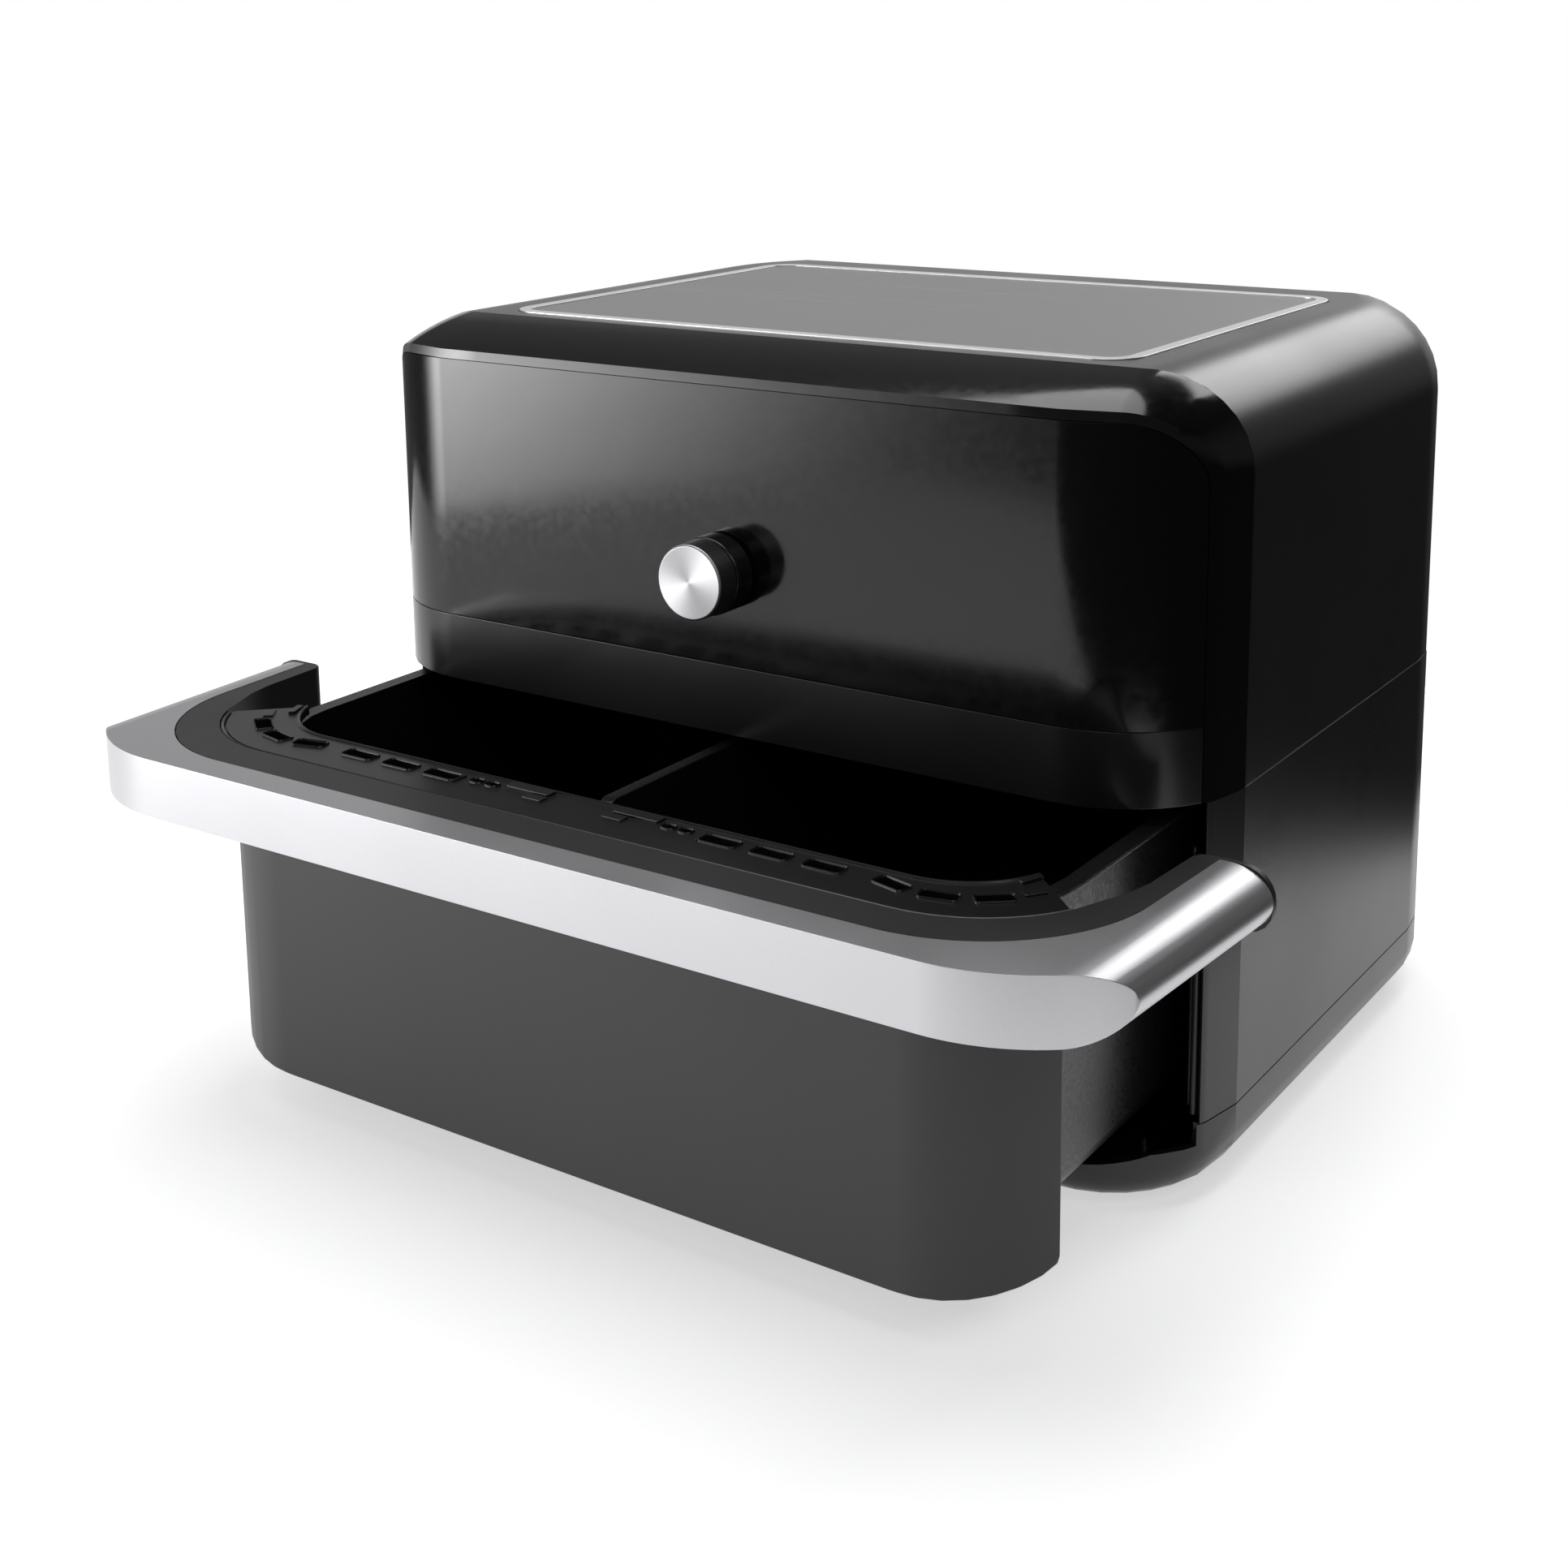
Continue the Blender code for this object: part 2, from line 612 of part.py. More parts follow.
def drive(name, side, materials):
    """Heater, guard, motor and the turning parts of one zone."""
    x = side * ZONE_X
    heater("heater_" + name, x, materials)
    heater_guard("heater_guard_" + name, x, materials)
    motor = [(4.0, 0), (22.0, 0), (24.0, 3.0), (24.0, 34.0), (20.0, 37.0), (4.0, 37.0)]
    turned("motor_" + name, motor, (x, ZONE_DEPTH, LINER_TOP + 4.8), materials["steel"])
    probe = [(0, 0), (2.0, 1.0), (2.0, 24.0), (0, 24.0)]
    place = (x, ZONE_DEPTH + 96.0, 174.0)
    turned("temperature_sensor_" + name, probe, place, materials["steel"], segments=10)
    rod = [(0, 188), (3.2, 188), (3.2, 280), (0, 280)]
    shaft = turned("fan_shaft_" + name, rod, (x, ZONE_DEPTH, 0), materials["steel"], segments=14)
    wheel = bladed_wheel("fan_" + name, x, 203.0, 1.5, 58.0, 9.0, 10, materials)
    cooler = bladed_wheel("cooling_fan_" + name, x, 270.0, 1.5, 26.0, 8.0, 8, materials)
    axis = add_empty("fan_axis_" + name, x, ZONE_DEPTH, 203.0)
    attach(axis, [shaft, wheel, cooler])


def electronics(materials):
    boxes("power_board", [(-60, 60, 262, 264)], 225, 300, materials["board"])
    board = boxes("control_board", [(-130, 130, 12, 13.6)], 210, 296, materials["board"])
    place = (0, 12, DIAL_HEIGHT)
    cut(board, turned("shaft_hole", [(0, -3), (6, -3), (6, 5), (0, 5)], place, materials["board"], "y", 16))
    fuse = [(0, 0), (2.5, 0), (2.5, 14), (0, 14)]
    turned("thermal_fuse", fuse, (0, ZONE_DEPTH, LINER_TOP + 4.8), materials["steel"], segments=10)
    boxes("drawer_switch", [(-9, 9, 318.5, 326.5)], 120, 128, materials["core"])


def dial(materials):
    """Encoder, its sprung shaft and the two-part knob, all about one axis that runs front to back."""
    centre = (0, 0, DIAL_HEIGHT)
    body = boxes("encoder_body", [(-7, 7, WALL + 1, 11.6)], DIAL_HEIGHT - 7, DIAL_HEIGHT + 7, materials["core"])
    cut(body, turned("bore", [(0, -2), (5.5, -2), (5.5, 15), (0, 15)], centre, materials["core"], "y", 20))
    rotor = [(3.3, 4.6), (5.2, 4.6), (5.2, 10.6), (3.3, 10.6)]
    rotor = turned("encoder_rotor", rotor, centre, materials["steel"], "y", 20)
    shaft = turned("encoder_shaft", [(0, -15.0), (3.0, -15.0), (3.0, 11.5), (0, 11.5)], centre, materials["steel"], "y", 16)
    skirt = [(3.3, -11.9), (16.2, -11.9), (16.7, -11.2), (16.7, -1.9), (16.2, -1.4), (3.3, -1.4)]
    skirt = turned("knob_skirt", skirt, centre, materials["core"], "y", 40)
    cap = [(0, -23.7), (15.3, -23.7), (16.0, -23.0), (16.0, -12.2), (3.3, -12.2), (3.3, -15.3), (0, -15.3)]
    cap = turned("knob_cap", cap, centre, materials["silver"], "y", 40)
    axis = add_empty("dial_axis", 0, -12.0, DIAL_HEIGHT)
    attach(axis, [rotor, shaft, skirt, cap])


# ---------------------------------------------------------------- drawer


def drawer_face(gap=0.0):
    """The drawer front seen from the front, as (x, z): square above and softly rounded at its lower corners."""
    edge_x = front_corner(0, OPENING_ANGLE, OPENING_ANGLE, 1)[0][0]
    reach = edge_x - DRAWER_CORNER_X
    high = RIM_TOP
    corner = []
    for step in range(9):
        turn = math.radians(90 * step / 8)
        x = DRAWER_CORNER_X + (reach + gap) * math.sin(turn)
        corner.append((x, DRAWER_BOTTOM - gap + DRAWER_CORNER_RISE * (1 - math.cos(turn))))
    right = corner + [(DRAWER_CORNER_X + reach + gap, high)]
    return right + mirrored(right)


def drawer_front(materials):
    sheet = front_sheet(0, 3.0, OPENING_ANGLE)
    front = upright_prism("drawer_front", sheet, DRAWER_BOTTOM - 5, RIM_TOP - 7.6, materials["front"])
    return keep_inside(front, deep_prism("face", drawer_face(), -5, 60, materials["front"]))


def arm_x(end_x, depth):
    """Where a line lies that runs forward along an arm from end_x at the arm's rear end."""
    return end_x - (ARM_END - depth) * math.tan(ARM_FLARE)


def bow(end_x, near, radius, end):
    """The right half of a bow seen from above: straight across the front, round the corner and back along the arm."""
    leaves = near + radius - radius * math.sin(ARM_FLARE)
    cx = arm_x(end_x, leaves) - radius * math.cos(ARM_FLARE)
    return arc(cx, near + radius, radius, -math.pi / 2, -ARM_FLARE, 9) + [(arm_x(end_x, end), end)]


def handle_bar(shrink, material):
    """The handle's section, carried from front to back: a bar as wide as the arms, with rounded ends."""
    low = HANDLE_BOTTOM + shrink
    high = HANDLE_TOP - shrink
    upper, lower = 12.6 - shrink, 10.0 - shrink
    rings = []
    for depth in (-60.0, ARM_END + 10.0):
        x = arm_x(ARM_HALF_WIDTH, depth) - shrink
        right = arc(x - lower, low + lower, lower, -math.pi / 2, 0, 4)
        right += arc(x - upper, high - upper, upper, 0, math.pi / 2, 6)
        rings.append([(px, depth, pz) for px, pz in right + mirrored(right)])
    return loft("bar", rings, material)


def cover_inner_edge(gap, end):
    """The line between the silver band and the black core, from the left arm round to the right one."""
    right = bow(COVER_INNER_END - gap, COVER_DEPTH - HANDLE_REACH + gap, COVER_INNER_CORNER, end)
    return mirrored(right) + right


def handle_cover(materials):
    """The silver band, which stops a little short of the arms' rear ends."""
    end = ARM_END - CAP_THICKNESS
    right = bow(ARM_HALF_WIDTH + 1.0, -HANDLE_REACH, HANDLE_CORNER, end)
    outline = mirrored(right) + right + cover_inner_edge(0.0, end)[::-1]
    band = upright_prism("handle_cover", outline, HANDLE_BOTTOM - 5, HANDLE_TOP + 5, materials["silver"])
    return keep_inside(band, handle_bar(0.0, materials["silver"]))


def handle_core(materials):
    """The black inner part of the handle, which caps the ends of the silver band and leaves a finger recess."""
    cap = ARM_END - CAP_THICKNESS + GAP
    tip = ARM_HALF_WIDTH + 3
    inner_end = 221.9
    inner = front_corner(CORE_CLEARANCE, 0, OPENING_ANGLE, 8)
    inner += [(212.5, 38.0), (217.2, 49.0), (arm_x(inner_end, 62.0), 62.0), (inner_end, ARM_END - 5)]
    inner += [(inner_end + 1.5, ARM_END - 1.5), (inner_end + 5, ARM_END)]
    outer = cover_inner_edge(GAP, cap)
    outline = [(-tip, ARM_END), (-tip, cap)] + outer + [(tip, cap), (tip, ARM_END)]
    outline += inner[::-1] + mirrored(inner)[::-1]
    core = upright_prism("handle_core", outline, HANDLE_BOTTOM - 5, HANDLE_TOP + 5, materials["core"])
    keep_inside(core, handle_bar(0.15, materials["core"]))
    recess = [(-170, 170, COVER_DEPTH - HANDLE_REACH - 2, -CORE_CLEARANCE + 4)]
    return cut(core, boxes("finger_recess", recess, HANDLE_BOTTOM - 5, HANDLE_BOTTOM + 11, materials["core"]))


def rim_insert(materials):
    """The slotted top of the drawer front. A skirt under it fills the space between handle and front."""
    outer = front_path(CORE_CLEARANCE - GAP, OPENING_ANGLE)
    middle_x = BASKET_HALF_WIDTH - BASKET_CORNER
    edge = arc(middle_x, BASKET_FRONT + BASKET_CORNER, BASKET_CORNER + 0.6, -math.pi / 2, -0.35, 6)
    outline = outer + edge[::-1] + mirrored(edge)[::-1]
    rim = upright_prism("rim_insert", outline, BASKET_TOP + GAP, RIM_TOP, materials["core"])
    skirt = front_sheet(CORE_CLEARANCE - GAP, CORE_CLEARANCE - 2 * GAP, OPENING_ANGLE)
    join(rim, upright_prism("skirt", skirt, HANDLE_BOTTOM + 11.5, BASKET_TOP + 1.5, materials["core"]))
    return cut(rim, blocks("rim_slots", rim_slots(), BASKET_TOP - 4, RIM_TOP + 4, materials["core"]))


def rim_slots():
    """Vent slots along the rim, as outlines of (x, depth): three on each straight, three round each corner, one small."""
    ring = 43.0
    cx = HALF_WIDTH - FRONT_CORNER
    places = [(x, FRONT_CORNER - 41.0, 0.0, 15.5, 7.0) for x in (69.0, 92.0, 115.0)]
    places.append((49.0, FRONT_CORNER - 38.5, 0.0, 9.0, 5.0))
    for degrees in (-14.0, 12.0, 38.0):
        turn = math.radians(degrees)
        places.append((cx + ring * math.sin(turn), FRONT_CORNER - ring * math.cos(turn), turn, 14.0, 6.5))
    outlines = []
    for x, y, turn, length, width in places:
        right = []
        for along, across in ((-1, -1), (1, -1), (1, 1), (-1, 1)):
            u, v = along * length / 2, across * width / 2
            right.append((x + u * math.cos(turn) - v * math.sin(turn), y + u * math.sin(turn) + v * math.cos(turn)))
        outlines += [right, mirrored(right)]
    return outlines


def basket_outline(inset):
    x = BASKET_HALF_WIDTH - inset
    return rounded_rectangle(-x, x, BASKET_FRONT + inset, BASKET_REAR - inset, BASKET_CORNER - min(inset, 12), 6)


def basket(materials):
    """A pressed bucket with tapering walls and a rim that rides on the slide rails."""
    wall = BASKET_WALL
    floor = BASKET_BOTTOM + wall
    outer = [(BASKET_TAPER + 10 - wall, BASKET_BOTTOM), (BASKET_TAPER + 3 - wall, BASKET_BOTTOM + 3)]
    outer += [(BASKET_TAPER - wall, BASKET_BOTTOM + 10), (-wall, BASKET_TOP - 3.0)]
    rim = [(-8.0, BASKET_TOP - 3.0), (-8.0, BASKET_TOP - 1.5), (0.0, BASKET_TOP - 1.5)]
    inner = [(BASKET_TAPER, floor + 9), (BASKET_TAPER + 3, floor + 2.4), (BASKET_TAPER + 10, floor)]
    rings = []
    for inset, z in outer + rim + inner:
        rings.append([(x, y, z) for x, y in basket_outline(inset)])
    return loft("basket", rings, materials["coating"])


def divider(materials):
    """The plate that parts the two zones, with a seal strip round its lower edges."""
    clear = 0.6
    strip = 4.0
    top_near = BASKET_FRONT + clear
    top_far = BASKET_REAR - clear
    low_near = top_near + BASKET_TAPER + 1
    low_far = top_far - BASKET_TAPER - 1
    low = BASKET_BOTTOM + BASKET_WALL + clear
    outer = [(top_near, BASKET_TOP - 4), (low_near, low + 12), (low_near + 10, low)]
    outer += [(low_far - 10, low), (low_far, low + 12), (top_far, BASKET_TOP - 4)]
    inner = [(top_near + strip, BASKET_TOP - 4), (low_near + strip, low + 13), (low_near + 11, low + strip)]
    inner += [(low_far - 11, low + strip), (low_far - strip, low + 13), (top_far - strip, BASKET_TOP - 4)]
    seal_rings = [[(x, y, z) for y, z in outer + inner[::-1]] for x in (-1.2, 1.2)]
    seal = loft("divider_seal", seal_rings, materials["silicone"])
    edge = [(y + (GAP if y < 150 else -GAP), z + (GAP if z < 60 else 0)) for y, z in inner]
    near, far = edge[0][0], edge[-1][0]
    edge += [(far, BASKET_TOP - 2), (far - 4, BASKET_TOP + 1.5), (near + 8, BASKET_TOP + 1.5)]
    edge += [(near + 2.5, BASKET_TOP - 0.5), (near, BASKET_TOP - 3)]
    plate = loft("divider", [[(x, y, z) for y, z in edge] for x in (-3.0, 3.0)], materials["coating"])
    return [plate, seal]


def crisper_plate(name, side, materials):
    """A raised grid for one zone, on four short legs of its own."""
    inner, outer = 5.0, BASKET_HALF_WIDTH - BASKET_TAPER - 5
    near, far = BASKET_FRONT + BASKET_TAPER + 5, BASKET_REAR - BASKET_TAPER - 5
    x0, x1 = sorted((side * inner, side * outer))
    outline = rounded_rectangle(x0, x1, near, far, 30.0)
    plate = upright_prism("crisper_plate_" + name, outline, PLATE_LEVEL, PLATE_LEVEL + 2, materials["coating"])
    legs = [(x - 4, x + 4, y - 4, y + 4) for x in (x0 + 30, x1 - 30) for y in (near + 30, far - 30)]
    join(plate, boxes("legs", legs, BASKET_BOTTOM + BASKET_WALL + GAP, PLATE_LEVEL + 1, materials["coating"]))
    slots = []
    for column in range(3):
        for row in range(6):
            x = x0 + 44 + column * 42
            y = near + 48 + row * 31
            slots.append((x - 14, x + 14, y - 5, y + 5))
    return cut(plate, boxes("grid_slots", slots, PLATE_LEVEL - 3, PLATE_LEVEL + 5, materials["coating"]))


def drawer(materials):
    pieces = [drawer_front(materials), handle_cover(materials), handle_core(materials)]
    pieces += [rim_insert(materials), basket(materials)]
    pieces += divider(materials)
    for name, side in SIDES.items():
        pieces.append(crisper_plate(name, side, materials))
    low = BASKET_TOP - 42
    pieces.append(boxes("drawer_magnet", [(-6, 6, 293.2, 297.0)], low, low + 8, materials["steel"]))
    slide = add_empty("drawer_slide", 0, -FRONT_Y - TRAVEL, 0)
    attach(slide, pieces, Vector((0, 0, 0)))


def build():
    clear_scene()
    materials = make_materials()
    top_housing(materials)
    front_bezel(materials)
    control_panel(materials)
    front_band(materials)
    top_inlay(materials)
    lower_housing(materials)
    base_tray(materials)
    feet(materials)
    rear_cover(materials)
    rear_screws(materials)
    cord_gland(materials)
    slide_rails(materials)
    cooking_liner(materials)
    chassis_plate(materials)
    for name, side in SIDES.items():
        drive(name, side, materials)
    electronics(materials)
    dial(materials)
    drawer(materials)


build()
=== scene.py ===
"""Studio picture of the two-zone air fryer, with its drawer part-way open.

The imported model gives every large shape. This script adds rounded edges, finishes and small fittings to it,
in metres and in the model's own frame: x to the right seen from the front, y towards the back, z up.
"""

import json
import math

import bmesh
import bpy
from mathutils import Matrix, Vector


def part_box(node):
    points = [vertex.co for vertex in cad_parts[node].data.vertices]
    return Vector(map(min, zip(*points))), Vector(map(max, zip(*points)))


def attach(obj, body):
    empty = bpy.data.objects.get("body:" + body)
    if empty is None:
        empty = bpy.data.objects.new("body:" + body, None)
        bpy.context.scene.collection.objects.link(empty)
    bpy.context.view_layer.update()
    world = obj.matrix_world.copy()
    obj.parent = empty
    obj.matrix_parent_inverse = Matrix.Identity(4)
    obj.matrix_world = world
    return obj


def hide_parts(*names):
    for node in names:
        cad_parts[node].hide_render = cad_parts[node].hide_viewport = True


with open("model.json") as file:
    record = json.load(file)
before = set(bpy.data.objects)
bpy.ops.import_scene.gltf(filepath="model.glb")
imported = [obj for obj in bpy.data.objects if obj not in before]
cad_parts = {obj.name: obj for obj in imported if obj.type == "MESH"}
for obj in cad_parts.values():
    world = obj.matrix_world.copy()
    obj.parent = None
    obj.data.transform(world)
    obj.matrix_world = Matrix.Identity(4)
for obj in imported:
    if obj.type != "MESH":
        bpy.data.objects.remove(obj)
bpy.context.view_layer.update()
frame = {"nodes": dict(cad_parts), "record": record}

MM = 0.001

# The camera's place in metres, its turn from straight ahead, its downward tip and its slight roll.
CAMERA_PLACE = Vector((0.527, -0.820, 0.464))
CAMERA_TURN = 0.5991
CAMERA_TIP = math.radians(11)
CAMERA_ROLL = -0.0118
CAMERA_LENS = 50.86
CAMERA_SHIFT = -0.2133

# The floor's left, right, near and far sides in metres, square to the camera.
FLOOR_SIDES = (-1.3, 0.42, -0.79, 0.95)
FLOOR_CORNER = 0.25
FLOOR_GLOW = 0.55

# The studio's walls: which way the white one lies, and how bright each part looks.
WHITE_WALL = (-0.924, 0.383, 0.0)
WHITE_WALL_TONE = 0.72
DARK_WALL_TONE = 0.08
CEILING_TONE = 0.2
WALL_TOP = (0.18, 0.42)
BELOW_SHARE = 0.15
GLOW_TURN = math.radians(48)
GLOW_SPREAD = math.radians(10.8)
GLOW_TONE = 20.0

# Each softbox: name, place, width, height, radiance. All of them face LIT_POINT.
LIT_POINT = (0.0, 0.0, 0.17)
SOFTBOXES = (
    ("overhead", (-0.25, 0.1, 1.9), 1.9, 1.7, 2.6),
    ("back", (0.25, 1.75, 1.25), 1.1, 0.9, 3.6),
    ("side", (1.25, -0.55, 1.35), 0.6, 0.6, 2.0),
    ("front", (0.75, -1.75, 1.55), 1.0, 0.8, 1.5),
)

# Where the housing's and the drawer's fronts lie, in metres.
BODY_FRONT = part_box("control_panel")[0].y
DRAWER_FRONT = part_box("drawer_front")[0].y
DIAL_HEIGHT = (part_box("knob_cap")[0].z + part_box("knob_cap")[1].z) / 2

# From here on, sizes are in millimetres. Depths run back from the housing's or the drawer's front.
HALF_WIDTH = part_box("lower_housing")[1].x / MM
FRONT_CORNER = 56.0
CORNER_X = HALF_WIDTH - FRONT_CORNER
OPENING_ANGLE = math.radians(62)
FACET_ANGLE = math.radians(68)
JOINT_GAP = 0.3
SHELL_WALL = 2.6

ARCH_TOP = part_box("top_housing")[1].z / MM
ARCH_RADIUS = 40.0
ARCH_LEAN = 16.0
PANEL_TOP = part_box("control_panel")[1].z / MM + JOINT_GAP
BEZEL_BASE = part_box("front_bezel")[0].z / MM

RIM_OUTSET = 5.2
RIM_FACE = 166.0
RIM_UNDERSIDE = 162.3
RIM_PLATE_INSET = 2.6
SLOT_CORNER = 1.3
SLOT_PATH = 43
BASKET_CORNER_X = 145.5
BASKET_CORNER_DEPTH = 64.0
BASKET_CORNER = 40.6
BASKET_ARC_END = -0.35

ARM_HALF_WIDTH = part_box("handle_cover")[1].x / MM + 0.15
HANDLE_REACH = (DRAWER_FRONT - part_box("handle_cover")[0].y) / MM
ARM_END = (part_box("handle_core")[1].y - DRAWER_FRONT) / MM
HANDLE_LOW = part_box("handle_cover")[0].z / MM
HANDLE_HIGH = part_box("handle_cover")[1].z / MM
ARM_FLARE = math.radians(3.2)
BAND_CORNER = 72.0
BAND_INNER_CORNER = 70.0
BAND_INNER_X = 231.6
BAND_THICKNESS = 14.6
BAND_END_ROUNDING = 17.0

PANEL_NOSE_RISE = 4.0
PANEL_NOSE_RADIUS = 29.0
PANEL_RADIUS = 26.0

PLASTIC_IOR = 1.5


# ---------------------------------------------------------------- nodes


def add_node(tree, kind, inputs=None, **settings):
    """A shader node with its settings made, and each input given a value or linked to a socket."""
    node = tree.nodes.new("ShaderNode" + kind)
    for name, value in settings.items():
        setattr(node, name, value)
    for name, value in (inputs or {}).items():
        if isinstance(value, bpy.types.NodeSocket):
            tree.links.new(value, node.inputs[name])
        else:
            node.inputs[name].default_value = value
    return node


def object_point(tree):
    """Where a point lies on the object, in metres."""
    return add_node(tree, "TexCoord").outputs["Object"]


def stretched(tree, vector, scale):
    """The vector with each of its parts multiplied by its own scale."""
    return add_node(tree, "VectorMath", {0: vector, 1: scale}, operation="MULTIPLY").outputs[0]


def noise(tree, vector, size, detail=2.0):
    """Noise from 0 to 1 whose features are about size metres across."""
    inputs = {"Vector": vector, "Scale": 1 / size, "Detail": detail}
    return add_node(tree, "TexNoise", inputs).outputs["Fac"]


def arithmetic(tree, operation, *values):
    """A Math node's result."""
    return add_node(tree, "Math", dict(enumerate(values)), operation=operation).outputs[0]


def spread(tree, value, low, high, start=0.3, end=0.7):
    """Carries a value from start..end to low..high."""
    inputs = {"Value": value, "From Min": start, "From Max": end, "To Min": low, "To Max": high}
    return add_node(tree, "MapRange", inputs).outputs[0]


def specks(tree, vector, spacing, radius):
    """1 at the middle of sparse round specks of the given radius, falling to 0 at their edge."""
    dots = add_node(tree, "TexVoronoi", {"Vector": vector, "Scale": 1 / spacing})
    reach = radius / spacing
    near = spread(tree, dots.outputs["Distance"], 1.0, 0.0, reach * 0.4, reach)
    few = add_node(tree, "SeparateColor", {0: dots.outputs["Color"]}).outputs[0]
    chosen = spread(tree, few, 0.0, 1.0, 0.70, 0.72)
    return arithmetic(tree, "MULTIPLY", near, chosen)


def tinted(tree, factor, colour, other):
    """The first colour where factor is 0, the other where it is 1."""
    mix = add_node(tree, "Mix", {"Factor": factor}, data_type="RGBA")
    mix.inputs[6].default_value = (*colour, 1.0)
    mix.inputs[7].default_value = (*other, 1.0)
    return mix.outputs[2]


def bump(tree, height, depth):
    """A normal roughened by a height of up to depth metres."""
    inputs = {"Height": height, "Distance": depth, "Strength": 1.0}
    return add_node(tree, "Bump", inputs).outputs["Normal"]


def new_material(name):
    """A material with its node tree and its shader."""
    material = bpy.data.materials.new(name)
    material.use_nodes = True
    tree = material.node_tree
    return material, tree, tree.nodes["Principled BSDF"]


def connect(tree, shader, links, values):
    """Links sockets to the shader's inputs, and sets its plain values."""
    for name, socket in links.items():
        tree.links.new(socket, shader.inputs[name])
    for name, value in values.items():
        shader.inputs[name].default_value = value


def grey(value):
    """A grey that is very slightly blue."""
    return (value, value, value * 1.03)


# ---------------------------------------------------------------- finishes


def moulded_plastic(name, tone, roughness, grain, depth, dust=0.0):
    """Plastic with the fine grain of its mould, a slow change of sheen, and a little dust."""
    material, tree, shader = new_material(name)
    point = object_point(tree)
    slow = noise(tree, point, 0.09, 3.0)
    fine = noise(tree, point, grain, 3.0)
    colour = tinted(tree, spread(tree, slow, 0.0, 1.0), grey(tone * 0.88), grey(tone * 1.12))
    if dust:
        dusty = arithmetic(tree, "MULTIPLY", specks(tree, point, 0.014, 0.00035), dust)
        mix = add_node(tree, "Mix", {"Factor": dusty}, data_type="RGBA")
        tree.links.new(colour, mix.inputs[6])
        mix.inputs[7].default_value = (0.35, 0.35, 0.35, 1.0)
        colour = mix.outputs[2]
    both = arithmetic(tree, "ADD", slow, fine)
    rough = spread(tree, both, roughness * 0.88, roughness * 1.12, 0.7, 1.3)
    normal = bump(tree, fine, depth)
    connect(tree, shader, {"Base Color": colour, "Roughness": rough, "Normal": normal}, {"IOR": PLASTIC_IOR})
    return material


def polished_plastic(name, tone, roughness):
    """Gloss plastic with the faint waviness of an injection moulding under its shine."""
    material, tree, shader = new_material(name)
    point = object_point(tree)
    wave = noise(tree, point, 0.02, 1.0)
    haze = noise(tree, point, 0.004, 4.0)
    speck = specks(tree, point, 0.017, 0.0003)
    dusty = arithmetic(tree, "MULTIPLY", speck, 0.15)
    colour = tinted(tree, dusty, grey(tone), grey(0.4))
    rough = spread(tree, haze, roughness * 0.8, roughness * 1.25)
    normal = bump(tree, wave, 0.00002)
    connect(tree, shader, {"Base Color": colour, "Roughness": rough, "Normal": normal}, {"IOR": PLASTIC_IOR})
    return material


def satin_metal(name, tone, roughness, grain):
    """Bead-blasted and clear-coated metal."""
    material, tree, shader = new_material(name)
    point = object_point(tree)
    fine = noise(tree, point, grain, 2.0)
    slow = noise(tree, point, 0.05, 3.0)
    colour = tinted(tree, spread(tree, fine, 0.0, 1.0), grey(tone * 0.95), grey(tone * 1.04))
    rough = spread(tree, slow, roughness * 0.95, roughness * 1.05)
    normal = bump(tree, fine, 0.000008)
    connect(tree, shader, {"Base Color": colour, "Roughness": rough, "Normal": normal}, {"Metallic": 0.88})
    return material


def brushed_metal(name, tone, roughness, across):
    """Metal brushed along x. Each scratch is about 50 mm long and across metres wide."""
    material, tree, shader = new_material(name)
    point = object_point(tree)
    lines = noise(tree, stretched(tree, point, (20.0, 1 / across, 1 / across)), 1.0, 3.0)
    broad = noise(tree, stretched(tree, point, (4.0, 140.0, 140.0)), 1.0, 2.0)
    both = arithmetic(tree, "ADD", lines, broad)
    colour = tinted(tree, spread(tree, both, 0.0, 1.0, 0.7, 1.3), grey(tone * 0.8), grey(tone * 1.2))
    rough = spread(tree, both, roughness * 0.8, roughness * 1.2, 0.7, 1.3)
    normal = bump(tree, lines, 0.00002)
    connect(tree, shader, {"Base Color": colour, "Roughness": rough, "Normal": normal}, {"Metallic": 1.0})
    return material


def spun_metal(name, tone, roughness, height):
    """Turned metal about the dial's axis: fine rings, and the fan of light that they give."""
    material, tree, shader = new_material(name)
    point = object_point(tree)
    parts = add_node(tree, "SeparateXYZ", {0: point})
    up = arithmetic(tree, "SUBTRACT", parts.outputs["Z"], height)
    flat = add_node(tree, "CombineXYZ", {"X": parts.outputs["X"], "Z": up}).outputs[0]
    radius = add_node(tree, "VectorMath", {0: flat}, operation="LENGTH").outputs["Value"]
    ring = add_node(tree, "CombineXYZ", {"X": radius}).outputs[0]
    rings = noise(tree, ring, 0.00022, 2.0)
    colour = tinted(tree, spread(tree, rings, 0.0, 1.0), grey(tone * 0.88), grey(tone * 1.08))
    rough = spread(tree, rings, roughness * 0.85, roughness * 1.15)
    tangent = add_node(tree, "Tangent", direction_type="RADIAL", axis="Y").outputs[0]
    normal = bump(tree, rings, 0.000008)
    links = {"Base Color": colour, "Roughness": rough, "Normal": normal, "Tangent": tangent}
    connect(tree, shader, links, {"Metallic": 1.0, "Anisotropic": 0.6})
    return material


